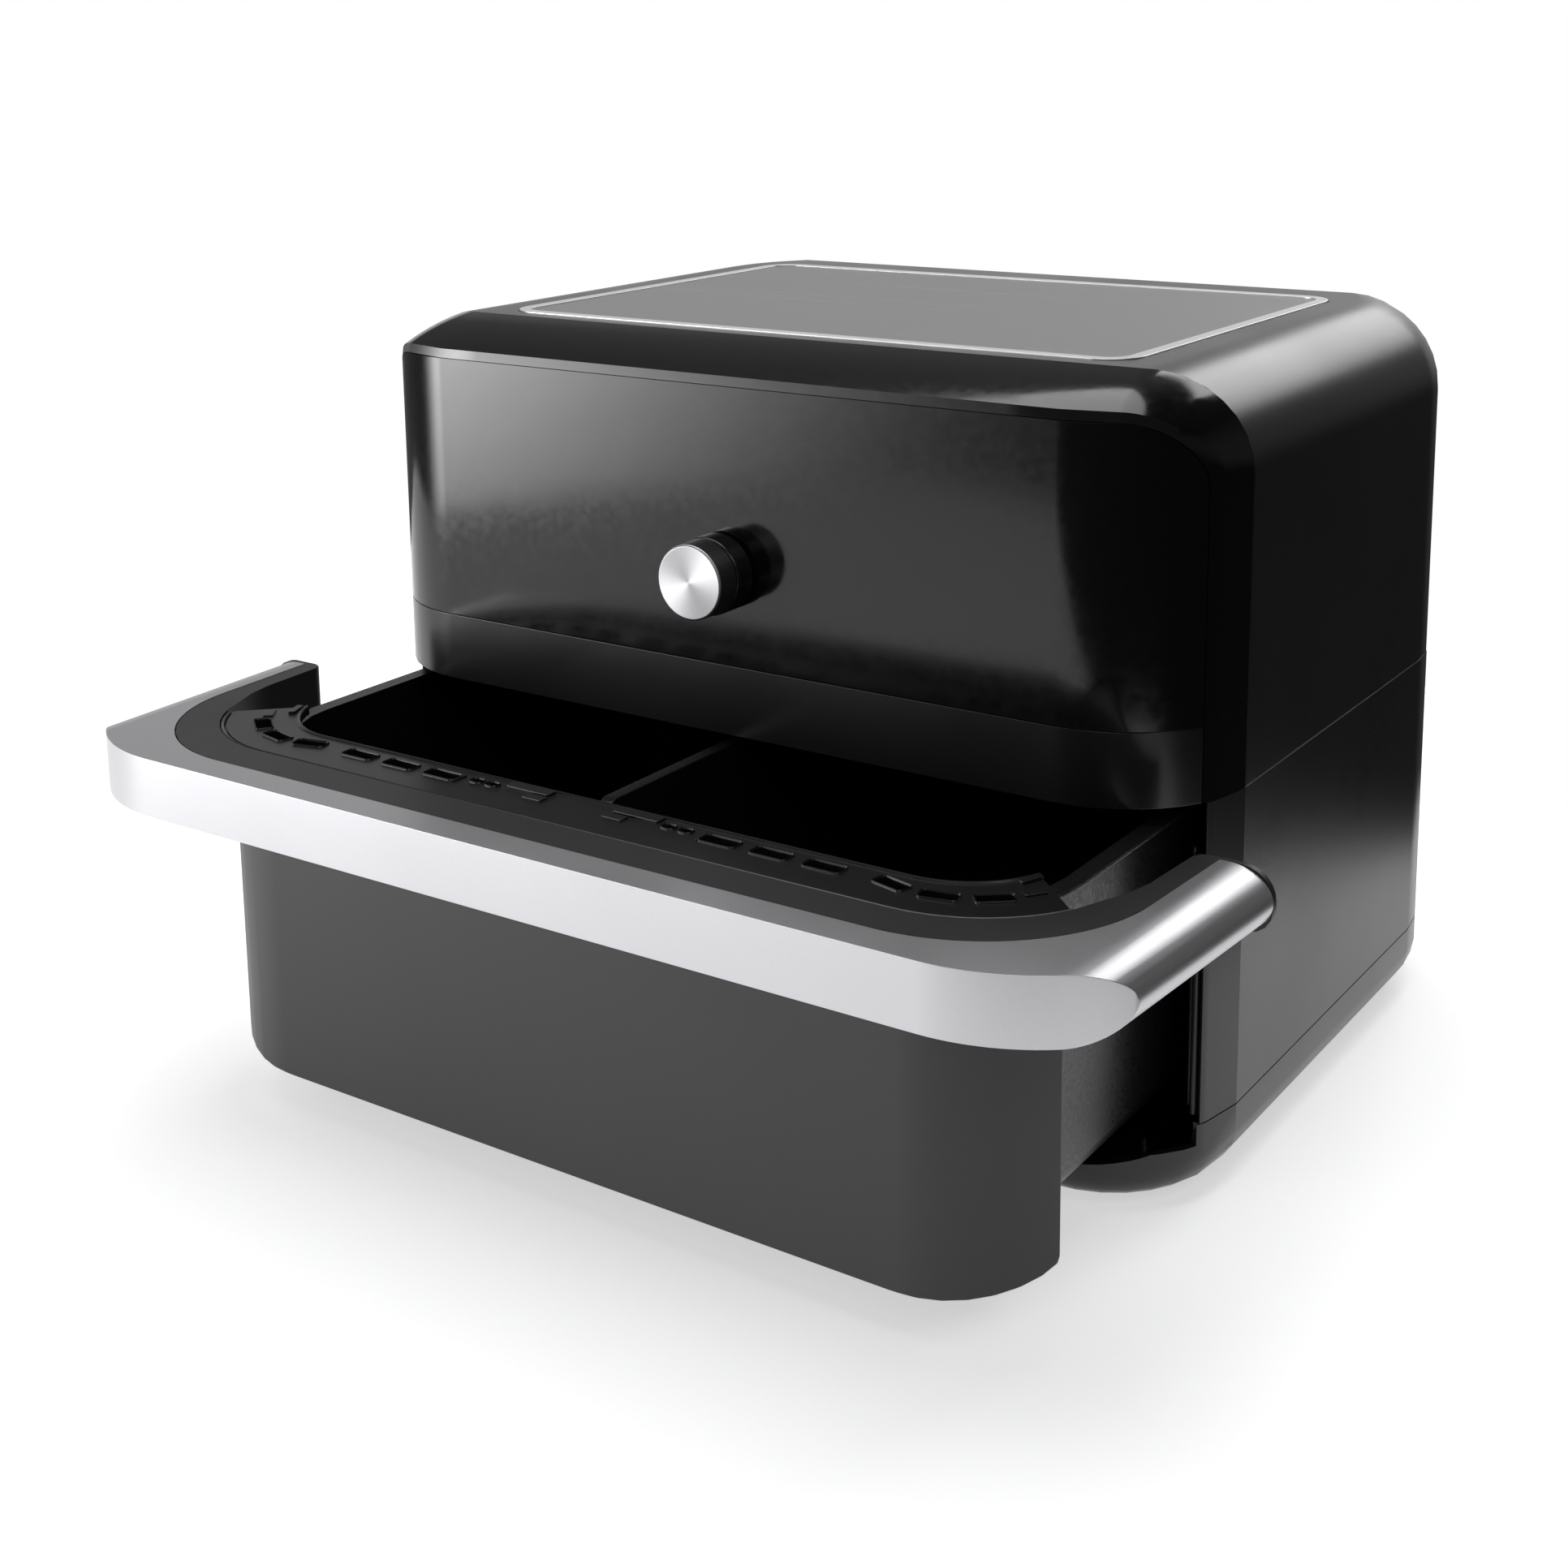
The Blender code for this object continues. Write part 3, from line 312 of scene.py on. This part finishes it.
def coated_steel(name, tone):
    """Non-stick coating: dark, a little orange-peel, with fine mineral specks."""
    material, tree, shader = new_material(name)
    point = object_point(tree)
    peel = noise(tree, point, 0.0016, 2.0)
    speck = specks(tree, point, 0.0022, 0.00025)
    colour = tinted(tree, speck, grey(tone), grey(tone * 4))
    rough = spread(tree, peel, 0.26, 0.4)
    normal = bump(tree, peel, 0.00004)
    connect(tree, shader, {"Base Color": colour, "Roughness": rough, "Normal": normal}, {"IOR": PLASTIC_IOR})
    return material


def circuit_board(name):
    """Green solder mask over straight copper tracks."""
    material, tree, shader = new_material(name)
    point = object_point(tree)
    inputs = {"Vector": stretched(tree, point, (90.0, 90.0, 260.0)), "Scale": 1.0}
    cells = add_node(tree, "TexVoronoi", inputs, distance="CHEBYCHEV")
    track = spread(tree, cells.outputs["Distance"], 0.0, 1.0, 0.42, 0.46)
    colour = tinted(tree, track, (0.012, 0.09, 0.03), (0.03, 0.17, 0.06))
    normal = bump(tree, track, 0.00004)
    connect(tree, shader, {"Base Color": colour, "Normal": normal}, {"Roughness": 0.35})
    return material


def floor_finish():
    """A pale, faintly lit sheet with a fine tooth."""
    material, tree, shader = new_material("pale_floor")
    point = object_point(tree)
    fine = noise(tree, point, 0.002, 3.0)
    colour = tinted(tree, fine, (0.80, 0.80, 0.81), (0.83, 0.83, 0.84))
    rough = spread(tree, fine, 0.55, 0.7)
    links = {"Base Color": colour, "Roughness": rough, "Normal": bump(tree, fine, 0.00005)}
    connect(tree, shader, links, {"Emission Color": (1, 1, 1, 1), "Emission Strength": FLOOR_GLOW})
    return material


# ---------------------------------------------------------------- stage


def camera_ground():
    """The camera's rightward and forward directions, level with the ground."""
    side, front = math.cos(CAMERA_TURN), math.sin(CAMERA_TURN)
    return Vector((side, front, 0)), Vector((-front, side, 0))


def add_floor():
    """A pale light table, square to the camera, that glows faintly from inside."""
    x0, x1, y0, y1 = FLOOR_SIDES
    right, ahead = camera_ground()
    shape = bmesh.new()
    points = []
    for x, y, start in ((x1, y1, 0), (x0, y1, 90), (x0, y0, 180), (x1, y0, 270)):
        cx = x - math.copysign(FLOOR_CORNER, x)
        cy = y - math.copysign(FLOOR_CORNER, y)
        for step in range(13):
            angle = math.radians(start + 90 * step / 12)
            along = cx + FLOOR_CORNER * math.cos(angle)
            back = cy + FLOOR_CORNER * math.sin(angle)
            points.append(shape.verts.new(right * along + ahead * back))
    shape.faces.new(points)
    mesh = bpy.data.meshes.new("floor")
    shape.to_mesh(mesh)
    shape.free()
    mesh.materials.append(floor_finish())
    floor = bpy.data.objects.new("floor", mesh)
    bpy.context.scene.collection.objects.link(floor)


def add_softbox(name, place, width, height, radiance):
    """A rectangular light that faces the appliance. A radiance of 1 looks white."""
    light = bpy.data.lights.new(name, "AREA")
    light.shape = "RECTANGLE"
    light.size = width
    light.size_y = height
    light.energy = radiance * math.pi * width * height
    box = bpy.data.objects.new(name, light)
    box.location = place
    box.rotation_euler = (Vector(LIT_POINT) - Vector(place)).to_track_quat("-Z", "Y").to_euler()
    box.visible_camera = False
    bpy.context.scene.collection.objects.link(box)


def add_surroundings():
    """A studio with a white wall at the left, dark elsewhere, and one soft glow at the front left.

    The camera itself sees a plain white backdrop.
    """
    world = bpy.data.worlds.new("studio")
    bpy.context.scene.world = world
    world.use_nodes = True
    tree = world.node_tree
    tree.nodes.clear()
    way = add_node(tree, "TexCoord").outputs["Generated"]
    height = add_node(tree, "SeparateXYZ", {0: way}).outputs["Z"]
    towards = facing(tree, way, WHITE_WALL)
    wall = spread(tree, towards, DARK_WALL_TONE, WHITE_WALL_TONE, 0.05, 0.45)
    low = spread(tree, height, 1.0, CEILING_TONE, *WALL_TOP)
    ground = spread(tree, height, BELOW_SHARE, 1.0, -0.12, 0.0)
    level = arithmetic(tree, "MULTIPLY", wall, low)
    level = arithmetic(tree, "MULTIPLY", level, ground)
    strength = arithmetic(tree, "ADD", level, glow(tree, way))
    room = add_node(tree, "Background", {"Color": (1, 1, 1, 1), "Strength": strength}).outputs[0]
    backdrop = add_node(tree, "Background", {"Color": (1, 1, 1, 1), "Strength": 1.0}).outputs[0]
    direct = add_node(tree, "LightPath").outputs["Is Camera Ray"]
    mixed = add_node(tree, "MixShader", {0: direct, 1: room, 2: backdrop}).outputs[0]
    add_node(tree, "OutputWorld", {"Surface": mixed})


def facing(tree, way, direction):
    """How far a direction of view agrees with a fixed one: 1 along it, -1 against it."""
    return add_node(tree, "VectorMath", {0: way, 1: direction}, operation="DOT_PRODUCT").outputs["Value"]


def glow(tree, way):
    """A large round diffuser at the front left, brightest in its middle."""
    near = facing(tree, way, (-math.sin(GLOW_TURN), -math.cos(GLOW_TURN), 0.0))
    off = arithmetic(tree, "SUBTRACT", near, 1.0)
    power = arithmetic(tree, "MULTIPLY", off, 2 / GLOW_SPREAD**2)
    return arithmetic(tree, "MULTIPLY", arithmetic(tree, "EXPONENT", power), GLOW_TONE)


def add_camera():
    """Looks down and to the left at the open drawer. The shifted lens keeps uprights nearly upright."""
    tip, roll = CAMERA_TIP, CAMERA_ROLL
    right, level = camera_ground()
    ahead = level * math.cos(tip) - Vector((0, 0, math.sin(tip)))
    up = right.cross(ahead)
    across = right * math.cos(roll) + up * math.sin(roll)
    upward = up * math.cos(roll) - right * math.sin(roll)
    data = bpy.data.cameras.new("camera")
    data.sensor_width = 36.0
    data.lens = CAMERA_LENS
    data.shift_y = CAMERA_SHIFT
    camera = bpy.data.objects.new("camera", data)
    turned = Matrix((across, upward, -ahead)).transposed().to_4x4()
    camera.matrix_world = Matrix.Translation(CAMERA_PLACE) @ turned
    bpy.context.scene.collection.objects.link(camera)
    bpy.context.scene.camera = camera


# ---------------------------------------------------------------- the model's own parts

FINISHES = {
    "housing": moulded_plastic("satin_black_shell", 0.0075, 0.30, 0.0004, 0.000012, dust=0.5),
    "gloss": polished_plastic("gloss_black_front", 0.0035, 0.105),
    "front": moulded_plastic("matte_grey_front", 0.0165, 0.44, 0.00035, 0.00003),
    "silver": satin_metal("satin_silver", 0.56, 0.35, 0.00025),
    "inlay": brushed_metal("brushed_dark_plate", 0.29, 0.34, 0.00018),
    "core": moulded_plastic("fine_matte_black", 0.011, 0.46, 0.0003, 0.00002),
    "coating": coated_steel("nonstick_coating", 0.006),
    "rubber": moulded_plastic("black_rubber", 0.014, 0.75, 0.0005, 0.00004),
    "silicone": moulded_plastic("grey_silicone", 0.09, 0.62, 0.0006, 0.00002),
    "steel": brushed_metal("bare_steel", 0.55, 0.34, 0.0002),
    "board": circuit_board("circuit_board"),
}
SLOT_OF = {entry["node"]: entry["material_slot"] for entry in frame["record"]["subparts"]}
BODY_OF = {name: body for body, names in frame["record"]["behaviour"]["bodies"].items() for name in names}
# Nodes whose finish differs from the rest of their slot.
SPECIAL = {
    "rim_insert": moulded_plastic("satin_rim", 0.006, 0.32, 0.0004, 0.00001),
    "top_trim": satin_metal("trim_silver", 0.8, 0.3, 0.00025),
    "knob_cap": spun_metal("spun_silver", 0.4, 0.42, DIAL_HEIGHT),
    "front_band": moulded_plastic("satin_band", 0.006, 0.22, 0.0004, 0.00001),
    "knob_skirt": polished_plastic("gloss_knob_skirt", 0.010, 0.26),
}
# How far each node's sharp edges are rounded, in millimetres.
EDGE_ROUNDING = {
    "top_housing": 0.35,
    "control_panel": 0.03,
    "front_band": 0.3,
    "top_trim": 0.2,
    "top_plate": 0.15,
    "lower_housing": 0.35,
    "base_tray": 0.4,
    "rear_cover": 0.6,
    "knob_skirt": 0.3,
    "knob_cap": 0.25,
    "drawer_front": 0.6,
    "handle_core": 0.5,
    "basket": 0.3,
    "divider": 0.5,
    "divider_seal": 0.3,
    "crisper_plate_left": 0.4,
    "crisper_plate_right": 0.4,
    "cord_gland": 0.4,
}
for end in ("front_left", "front_right", "rear_left", "rear_right"):
    EDGE_ROUNDING["foot_" + end] = 0.4
for corner in ("lower_left", "lower_right", "upper_left", "upper_right"):
    EDGE_ROUNDING["rear_screw_" + corner] = 0.2


def finish_of(name):
    """The material of a node."""
    return SPECIAL.get(name, FINISHES[SLOT_OF[name]])


def welded_copy(node):
    """The node's surface as one clean skin, without the triangle edges that lie in its flat faces."""
    shape = bmesh.new()
    shape.from_mesh(node.data)
    bmesh.ops.remove_doubles(shape, verts=shape.verts, dist=0.02 * MM)
    merge_flat(shape, 0.4, {"NORMAL"})
    return shape


def merge_flat(shape, degrees, delimit=frozenset()):
    """Joins faces that lie within a few tenths of a degree of one plane."""
    bmesh.ops.dissolve_limit(
        shape,
        angle_limit=math.radians(degrees),
        verts=shape.verts,
        edges=shape.edges,
        delimit=set(delimit),
    )


def round_edges(shape, width, sharper_than=34, segments=2):
    """Rounds edges whose faces turn by more than an angle in degrees. The width is in millimetres."""
    least = math.radians(sharper_than)
    edges = [edge for edge in shape.edges if edge.is_manifold and edge.calc_face_angle(0) > least]
    bmesh.ops.bevel(
        shape,
        geom=edges,
        offset=width * MM,
        segments=segments,
        profile=0.5,
        affect="EDGES",
        clamp_overlap=True,
        loop_slide=True,
    )


def mark_crease(mesh):
    """Keeps the upright crease sharp where each corner of the housing meets its side."""
    crease_x = HALF_WIDTH * MM
    crease_y = BODY_FRONT + FRONT_CORNER * MM
    on_crease = []
    for vertex in mesh.vertices:
        near_x = abs(abs(vertex.co.x) - crease_x) < MM
        on_crease.append(near_x and abs(vertex.co.y - crease_y) < MM)
    for edge in mesh.edges:
        if on_crease[edge.vertices[0]] and on_crease[edge.vertices[1]]:
            edge.use_edge_sharp = True


def place_piece(name, shape, material, body):
    """Turns a bmesh into a smooth-shaded piece that rides on a body."""
    mesh = bpy.data.meshes.new(name)
    bmesh.ops.recalc_face_normals(shape, faces=shape.faces)
    shape.to_mesh(mesh)
    shape.free()
    mesh.materials.append(material)
    mesh.shade_smooth()
    mesh.set_sharp_from_angle(angle=math.radians(36))
    mark_crease(mesh)
    piece = bpy.data.objects.new(name, mesh)
    bpy.context.scene.collection.objects.link(piece)
    weighted = piece.modifiers.new("flat_faces", "WEIGHTED_NORMAL")
    weighted.keep_sharp = True
    weighted.weight = 60
    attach(piece, body)
    return piece


def refine(name, rounding):
    """Stands a copy with rounded edges in a node's place."""
    shape = welded_copy(frame["nodes"][name])
    round_edges(shape, rounding)
    piece = place_piece(name + "_finished", shape, finish_of(name), BODY_OF[name])
    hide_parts(name)


def finish_nodes():
    """Refines the nodes that show, and gives the others their materials."""
    for name, node in frame["nodes"].items():
        if name in EDGE_ROUNDING:
            refine(name, EDGE_ROUNDING[name])
        else:
            for place in node.material_slots:
                place.material = finish_of(name)


# ---------------------------------------------------------------- outlines and solids, in millimetres


def arc(cx, cy, radius, start, end, steps):
    """Points round part of a circle, with both ends."""
    turns = [start + (end - start) * i / steps for i in range(steps + 1)]
    return [(cx + radius * math.cos(a), cy + radius * math.sin(a)) for a in turns]


def mirrored(points):
    """The left-hand copy of points that run from the middle to the right, in left-to-right order."""
    return [(-x, y) for x, y in reversed(points)]


def skinned(rings, front, closed_ends=True):
    """A skin over rings of (x, depth, z), all of one length. Depth is measured back from front."""
    shape = bmesh.new()
    rows = []
    for ring in rings:
        rows.append([shape.verts.new((x * MM, front + depth * MM, z * MM)) for x, depth, z in ring])
    if closed_ends:
        shape.faces.new(rows[0])
        shape.faces.new(rows[-1])
    for here, there in zip(rows, rows[1:]):
        for j in range(len(here)):
            k = (j + 1) % len(here)
            shape.faces.new((here[j], here[k], there[k], there[j]))
    bmesh.ops.recalc_face_normals(shape, faces=shape.faces)
    return shape


def prism(outline, low, high, front):
    """An upright solid over an outline of (x, depth)."""
    return skinned([[(x, y, z) for x, y in outline] for z in (low, high)], front)


def combined(shape, tool, operation):
    """The Boolean of two meshes. Both are used up."""
    items = []
    for part in (shape, tool):
        mesh = bpy.data.meshes.new("draft")
        part.to_mesh(mesh)
        part.free()
        item = bpy.data.objects.new("draft", mesh)
        bpy.context.scene.collection.objects.link(item)
        items.append(item)
    modifier = items[0].modifiers.new("join", "BOOLEAN")
    modifier.operation = operation
    modifier.solver = "EXACT"
    modifier.object = items[1]
    bpy.context.view_layer.update()
    evaluated = items[0].evaluated_get(bpy.context.evaluated_depsgraph_get())
    result = bmesh.new()
    result.from_mesh(evaluated.to_mesh())
    evaluated.to_mesh_clear()
    for item in items:
        mesh = item.data
        bpy.data.objects.remove(item)
        bpy.data.meshes.remove(mesh)
    return result


def front_stations(outset, angle, steps=14):
    """Points and outward directions along the drawer's bent front, from left to right."""
    stations = []
    reach = FRONT_CORNER + outset
    turns = [angle * i / steps for i in range(steps + 1)]
    for side, order in ((-1, turns[::-1]), (1, turns)):
        for turn in order:
            out = (side * math.sin(turn), -math.cos(turn))
            stations.append(((side * CORNER_X + out[0] * reach, FRONT_CORNER + out[1] * reach), out))
    return stations


def swept(stations, profile, front):
    """A closed profile of (outward, z) carried along stations."""
    rings = []
    for (x, y), (nx, ny) in stations:
        rings.append([(x + nx * out, y + ny * out, z) for out, z in profile])
    return skinned(rings, front)


def rounded_box(x, y, turn, length, width, corner, steps=4):
    """The outline of a turned rectangle with round corners."""
    outline = []
    for sx, sy, start in ((1, 1, 0), (-1, 1, 90), (-1, -1, 180), (1, -1, 270)):
        cx = sx * (length / 2 - corner)
        cy = sy * (width / 2 - corner)
        outline += arc(cx, cy, corner, math.radians(start), math.radians(start + 90), steps)
    ct, st = math.cos(turn), math.sin(turn)
    return [(x + u * ct - v * st, y + u * st + v * ct) for u, v in outline]


# ---------------------------------------------------------------- drawer rim


def rim_slots():
    """Where the rim's vent slots lie on the right: (x, depth, turn, length, width)."""
    places = [(x, 15.0, 0.0, 15.5, 7.0) for x in (69.0, 92.0, 115.0)]
    places += [(x, 16.8, 0.0, 5.0, 4.2) for x in (44.0, 52.0)]
    for degrees in (-14.0, 12.0, 38.0):
        turn = math.radians(degrees)
        x = CORNER_X + SLOT_PATH * math.sin(turn)
        depth = FRONT_CORNER - SLOT_PATH * math.cos(turn)
        places.append((x, depth, turn, 14.0, 6.5))
    return places


def basket_edge(outset):
    """The basket's edge along the front, from left to right, moved outward by outset."""
    reach = BASKET_CORNER + outset
    right = arc(BASKET_CORNER_X, BASKET_CORNER_DEPTH, reach, -math.pi / 2, BASKET_ARC_END, 10)
    return mirrored(right) + right


def basket_stations(steps=10):
    """Points and outward directions along the basket's edge, from left to right."""
    stations = []
    first = -math.pi / 2
    turns = [first + (BASKET_ARC_END - first) * i / steps for i in range(steps + 1)]
    for side, order in ((-1, turns[::-1]), (1, turns)):
        for turn in order:
            out = (side * math.cos(turn), math.sin(turn))
            x = side * BASKET_CORNER_X + out[0] * BASKET_CORNER
            stations.append(((x, BASKET_CORNER_DEPTH + out[1] * BASKET_CORNER), out))
    return stations


def rim_piece(name, shape):
    """Places a piece of the drawer's rim."""
    return place_piece(name, shape, finish_of("rim_insert"), "drawer")


def rim_insert():
    """The drawer's slotted rim, with a bead round it, a groove inside that, and a lip along the basket."""
    outer = [point for point, _ in front_stations(RIM_OUTSET - RIM_PLATE_INSET, OPENING_ANGLE)]
    plate = prism(outer + basket_edge(-1.2)[::-1], RIM_UNDERSIDE, RIM_FACE, DRAWER_FRONT)
    for side in (-1, 1):
        for x, y, turn, length, width in rim_slots():
            slot = rounded_box(side * x, y, side * turn, length, width, SLOT_CORNER)
            plate = combined(plate, prism(slot, 158, 170, DRAWER_FRONT), "DIFFERENCE")
    round_edges(plate, 0.35, 50)
    rim = rim_piece("rim_plate", plate)
    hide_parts("rim_insert")
    rim_beads()
    rim_frames()
    rim_blocks()


def rim_beads():
    """The bead along the rim's outer edge, which covers its groove, and the lip along the basket."""
    top = RIM_FACE + 0.7
    base = 153.3
    groove = RIM_FACE - 1.1
    bead = [(0, base), (0, top - 0.9), (-0.3, top - 0.3), (-0.9, top), (-1.5, top - 0.3), (-1.8, top - 0.9)]
    bead += [(-1.8, groove), (-4.6, groove), (-4.6, base)]
    rim_piece("rim_bead", swept(front_stations(RIM_OUTSET, OPENING_ANGLE), bead, DRAWER_FRONT))
    foot = 162.6
    lip = [(0.2, foot), (0.2, top - 0.6), (-0.2, top - 0.1), (-0.9, top), (-1.5, top - 0.4), (-1.6, foot)]
    rim_piece("rim_lip", swept(basket_stations(), lip, DRAWER_FRONT))


def rim_frames():
    """A low raised frame round every slot."""
    for side, name in ((-1, "left"), (1, "right")):
        for index, (x, y, turn, length, width) in enumerate(rim_slots()):
            outlines = []
            for wider, corner in ((1.5, 2.0), (0.7, 1.65), (0.0, SLOT_CORNER)):
                outlines.append(rounded_box(side * x, y, side * turn, length + wider, width + wider, corner))
            outer, middle, inner = outlines
            rings = []
            for outline, z in ((outer, -0.1), (outer, 0.15), (middle, 0.8), (inner, 0.15), (inner, -0.1)):
                rings.append([(px, py, RIM_FACE + z) for px, py in outline])
            rings.append(rings[0])
            shape = skinned(rings, DRAWER_FRONT, closed_ends=False)
            bmesh.ops.remove_doubles(shape, verts=shape.verts, dist=0.001 * MM)
            rim_piece(f"slot_frame_{name}_{index}", shape)


def rim_blocks():
    """Stepped blocks beside the divider, and the catches at each end of the rim."""
    top = RIM_FACE + 1.0
    steps = [(27.0, 20.4, 0.0, 22.0, 5.6, top), (20.0, 14.2, 0.0, 10.0, 5.0, top - 0.3)]
    steps += [(60.5, 15.4, 0.0, 1.6, 8.4, top - 0.4)]
    steps += [(189.5, 34.0, 0.95, 9.0, 4.6, top - 0.2), (183.0, 43.5, 1.2, 10.0, 3.2, top + 0.2)]
    for side, name in ((-1, "left"), (1, "right")):
        for index, (x, y, turn, length, width, high) in enumerate(steps):
            outline = rounded_box(side * x, y, side * turn, length, width, 0.8)
            block = prism(outline, 163.0, high, DRAWER_FRONT)
            round_edges(block, 0.4, 50)
            rim_piece(f"rim_block_{name}_{index}", block)


def rim_shade_shelf():
    """A dark shelf under the slots, between the drawer's front and the basket: painted shade that stands in
    for the shaded hollow below the slots.
    """
    outer = [point for point, _ in front_stations(-3.3, math.radians(60))]
    shelf = prism(outer + basket_edge(1.8)[::-1], 149.0, 150.2, DRAWER_FRONT)
    place_piece("rim_painted_shade", shelf, FINISHES["core"], "drawer")


# ---------------------------------------------------------------- handle


def arm_x(end_x, depth):
    """Where the side of an arm lies at a depth, when it ends at end_x."""
    return end_x - (ARM_END - depth) * math.tan(ARM_FLARE)


def bow(end_x, near, radius, end):
    """The right half of the handle's outline: across the front, round the corner and back along the arm."""
    leaves = near + radius - radius * math.sin(ARM_FLARE)
    cx = arm_x(end_x, leaves) - radius * math.cos(ARM_FLARE)
    return arc(cx, near + radius, radius, -math.pi / 2, -ARM_FLARE, 30) + [(arm_x(end_x, end), end)]


def half_oval(x, low, high, width, steps=28):
    """The rounded end of a bar, from its lower edge round to its upper one."""
    tall = (high - low) / 2
    turns = [math.pi * (i / steps - 0.5) for i in range(steps + 1)]
    return [(x - width + width * math.cos(a), low + tall + tall * math.sin(a)) for a in turns]


def handle_cover():
    """The silver band: its outline from above, kept inside a bar with oval ends."""
    end = ARM_END - 2.8
    right = bow(ARM_HALF_WIDTH + 8.0, -HANDLE_REACH, BAND_CORNER, end)
    inner = bow(BAND_INNER_X, BAND_THICKNESS - HANDLE_REACH, BAND_INNER_CORNER, end)
    outline = mirrored(right) + right + (mirrored(inner) + inner)[::-1]
    band = prism(outline, HANDLE_LOW - 5, HANDLE_HIGH + 5, DRAWER_FRONT)
    rings = []
    for depth in (-60.0, ARM_END + 10.0):
        x = arm_x(ARM_HALF_WIDTH, depth)
        section = half_oval(x, HANDLE_LOW, HANDLE_HIGH, BAND_END_ROUNDING)
        rings.append([(px, depth, pz) for px, pz in section + mirrored(section)])
    band = combined(band, skinned(rings, DRAWER_FRONT), "INTERSECT")
    bmesh.ops.remove_doubles(band, verts=band.verts, dist=0.05 * MM)
    merge_flat(band, 0.3)
    round_edges(band, 0.9, segments=3)
    cover = place_piece("handle_band", band, finish_of("handle_cover"), "drawer")
    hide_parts("handle_cover")


# ---------------------------------------------------------------- bezel


def front_depth(x):
    """How far back the housing's bent front lies at x."""
    past = min(max(abs(x) - CORNER_X, 0), FRONT_CORNER)
    return FRONT_CORNER - math.sqrt(FRONT_CORNER**2 - past**2)


def bezel_arch(half_width, top, radius, steps=24, across=8):
    """An arch of (x, z) from the right foot over to the left one."""
    right = [(half_width, BEZEL_BASE)]
    right += arc(half_width - radius, top - radius, radius, 0, math.pi / 2, steps)
    right += [((half_width - radius) * (1 - i / across), top) for i in range(1, across)]
    return right + [(0, top)] + mirrored(right)


def front_bezel():
    """The gloss arch round the control panel, with a gently crowned slope."""
    edge_x = CORNER_X + FRONT_CORNER * math.sin(OPENING_ANGLE)
    nose_x = CORNER_X + FRONT_CORNER * math.sin(FACET_ANGLE)
    creases = bezel_arch(HALF_WIDTH, ARCH_TOP, ARCH_RADIUS)
    noses = bezel_arch(nose_x, PANEL_TOP + PANEL_NOSE_RISE, PANEL_NOSE_RADIUS)
    edges = bezel_arch(edge_x, PANEL_TOP, PANEL_RADIUS)
    behinds = bezel_arch(HALF_WIDTH - SHELL_WALL, ARCH_TOP - SHELL_WALL, ARCH_RADIUS - SHELL_WALL)
    rings = []
    for (cx, cz), (nx, nz), (ex, ez), (bx, bz) in zip(creases, noses, edges, behinds):
        rise = min(max((cz - (ARCH_TOP - ARCH_RADIUS)) / ARCH_RADIUS, 0), 1)
        join = FRONT_CORNER - ARCH_LEAN * (1 - math.sqrt(1 - rise**2)) - JOINT_GAP
        nose = front_depth(nx) + 0.8
        crown = 0.3 + 0.8 * rise
        ring = []
        for i in range(7):
            t = i / 6
            lift = crown * 4 * t * (1 - t)
            depth = join + (nose - join) * t - lift
            ring.append((cx + (nx - cx) * t, depth, cz + (nz - cz) * t + lift * (cz - nz) / 11))
        ring += [(ex, front_depth(ex), ez), (ex, front_depth(ex) + 5.0, ez), (bx, join, bz)]
        rings.append(ring)
    shape = skinned(rings, BODY_FRONT)
    bezel = place_piece("bezel_arch", shape, finish_of("front_bezel"), "body")
    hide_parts("front_bezel")


def panel_backing():
    """A dark strip behind each side joint of the panel, so that no light shows through the gap."""
    outer = FRONT_CORNER - SHELL_WALL - JOINT_GAP
    degrees = range(54, 70)
    for side, name in ((-1, "left"), (1, "right")):
        outline = []
        for reach, order in ((outer, degrees), (outer - 1.2, reversed(degrees))):
            for turn in map(math.radians, order):
                x = CORNER_X + reach * math.sin(turn)
                outline.append((side * x, FRONT_CORNER - reach * math.cos(turn)))
        strip = prism(outline, BEZEL_BASE + 3.0, PANEL_TOP - 18.0, BODY_FRONT)
        place_piece(f"panel_backing_{name}", strip, FINISHES["core"], "body")


# ---------------------------------------------------------------- drawer bay


def bay_strips():
    """The liner's upright strips just inside each corner of the bay, which catch a thin line of light."""
    for side, name in ((-1, "left"), (1, "right")):
        for index, (x, y, radius) in enumerate(((199.6, 37.6, 1.9), (195.2, 43.5, 1.3))):
            outline = arc(side * x, y, radius, 0, 2 * math.pi * 15 / 16, 15)
            strip = prism(outline, 35.0, 144.0, BODY_FRONT)
            place_piece(f"bay_strip_{name}_{index}", strip, FINISHES["housing"], "body")


# ---------------------------------------------------------------- the scene

finish_nodes()
rim_insert()
rim_shade_shelf()
handle_cover()
front_bezel()
panel_backing()
bay_strips()
add_camera()
add_floor()
add_surroundings()
for name, place, width, height, radiance in SOFTBOXES:
    add_softbox(name, place, width, height, radiance)
bpy.context.scene.view_settings.view_transform = "Standard"
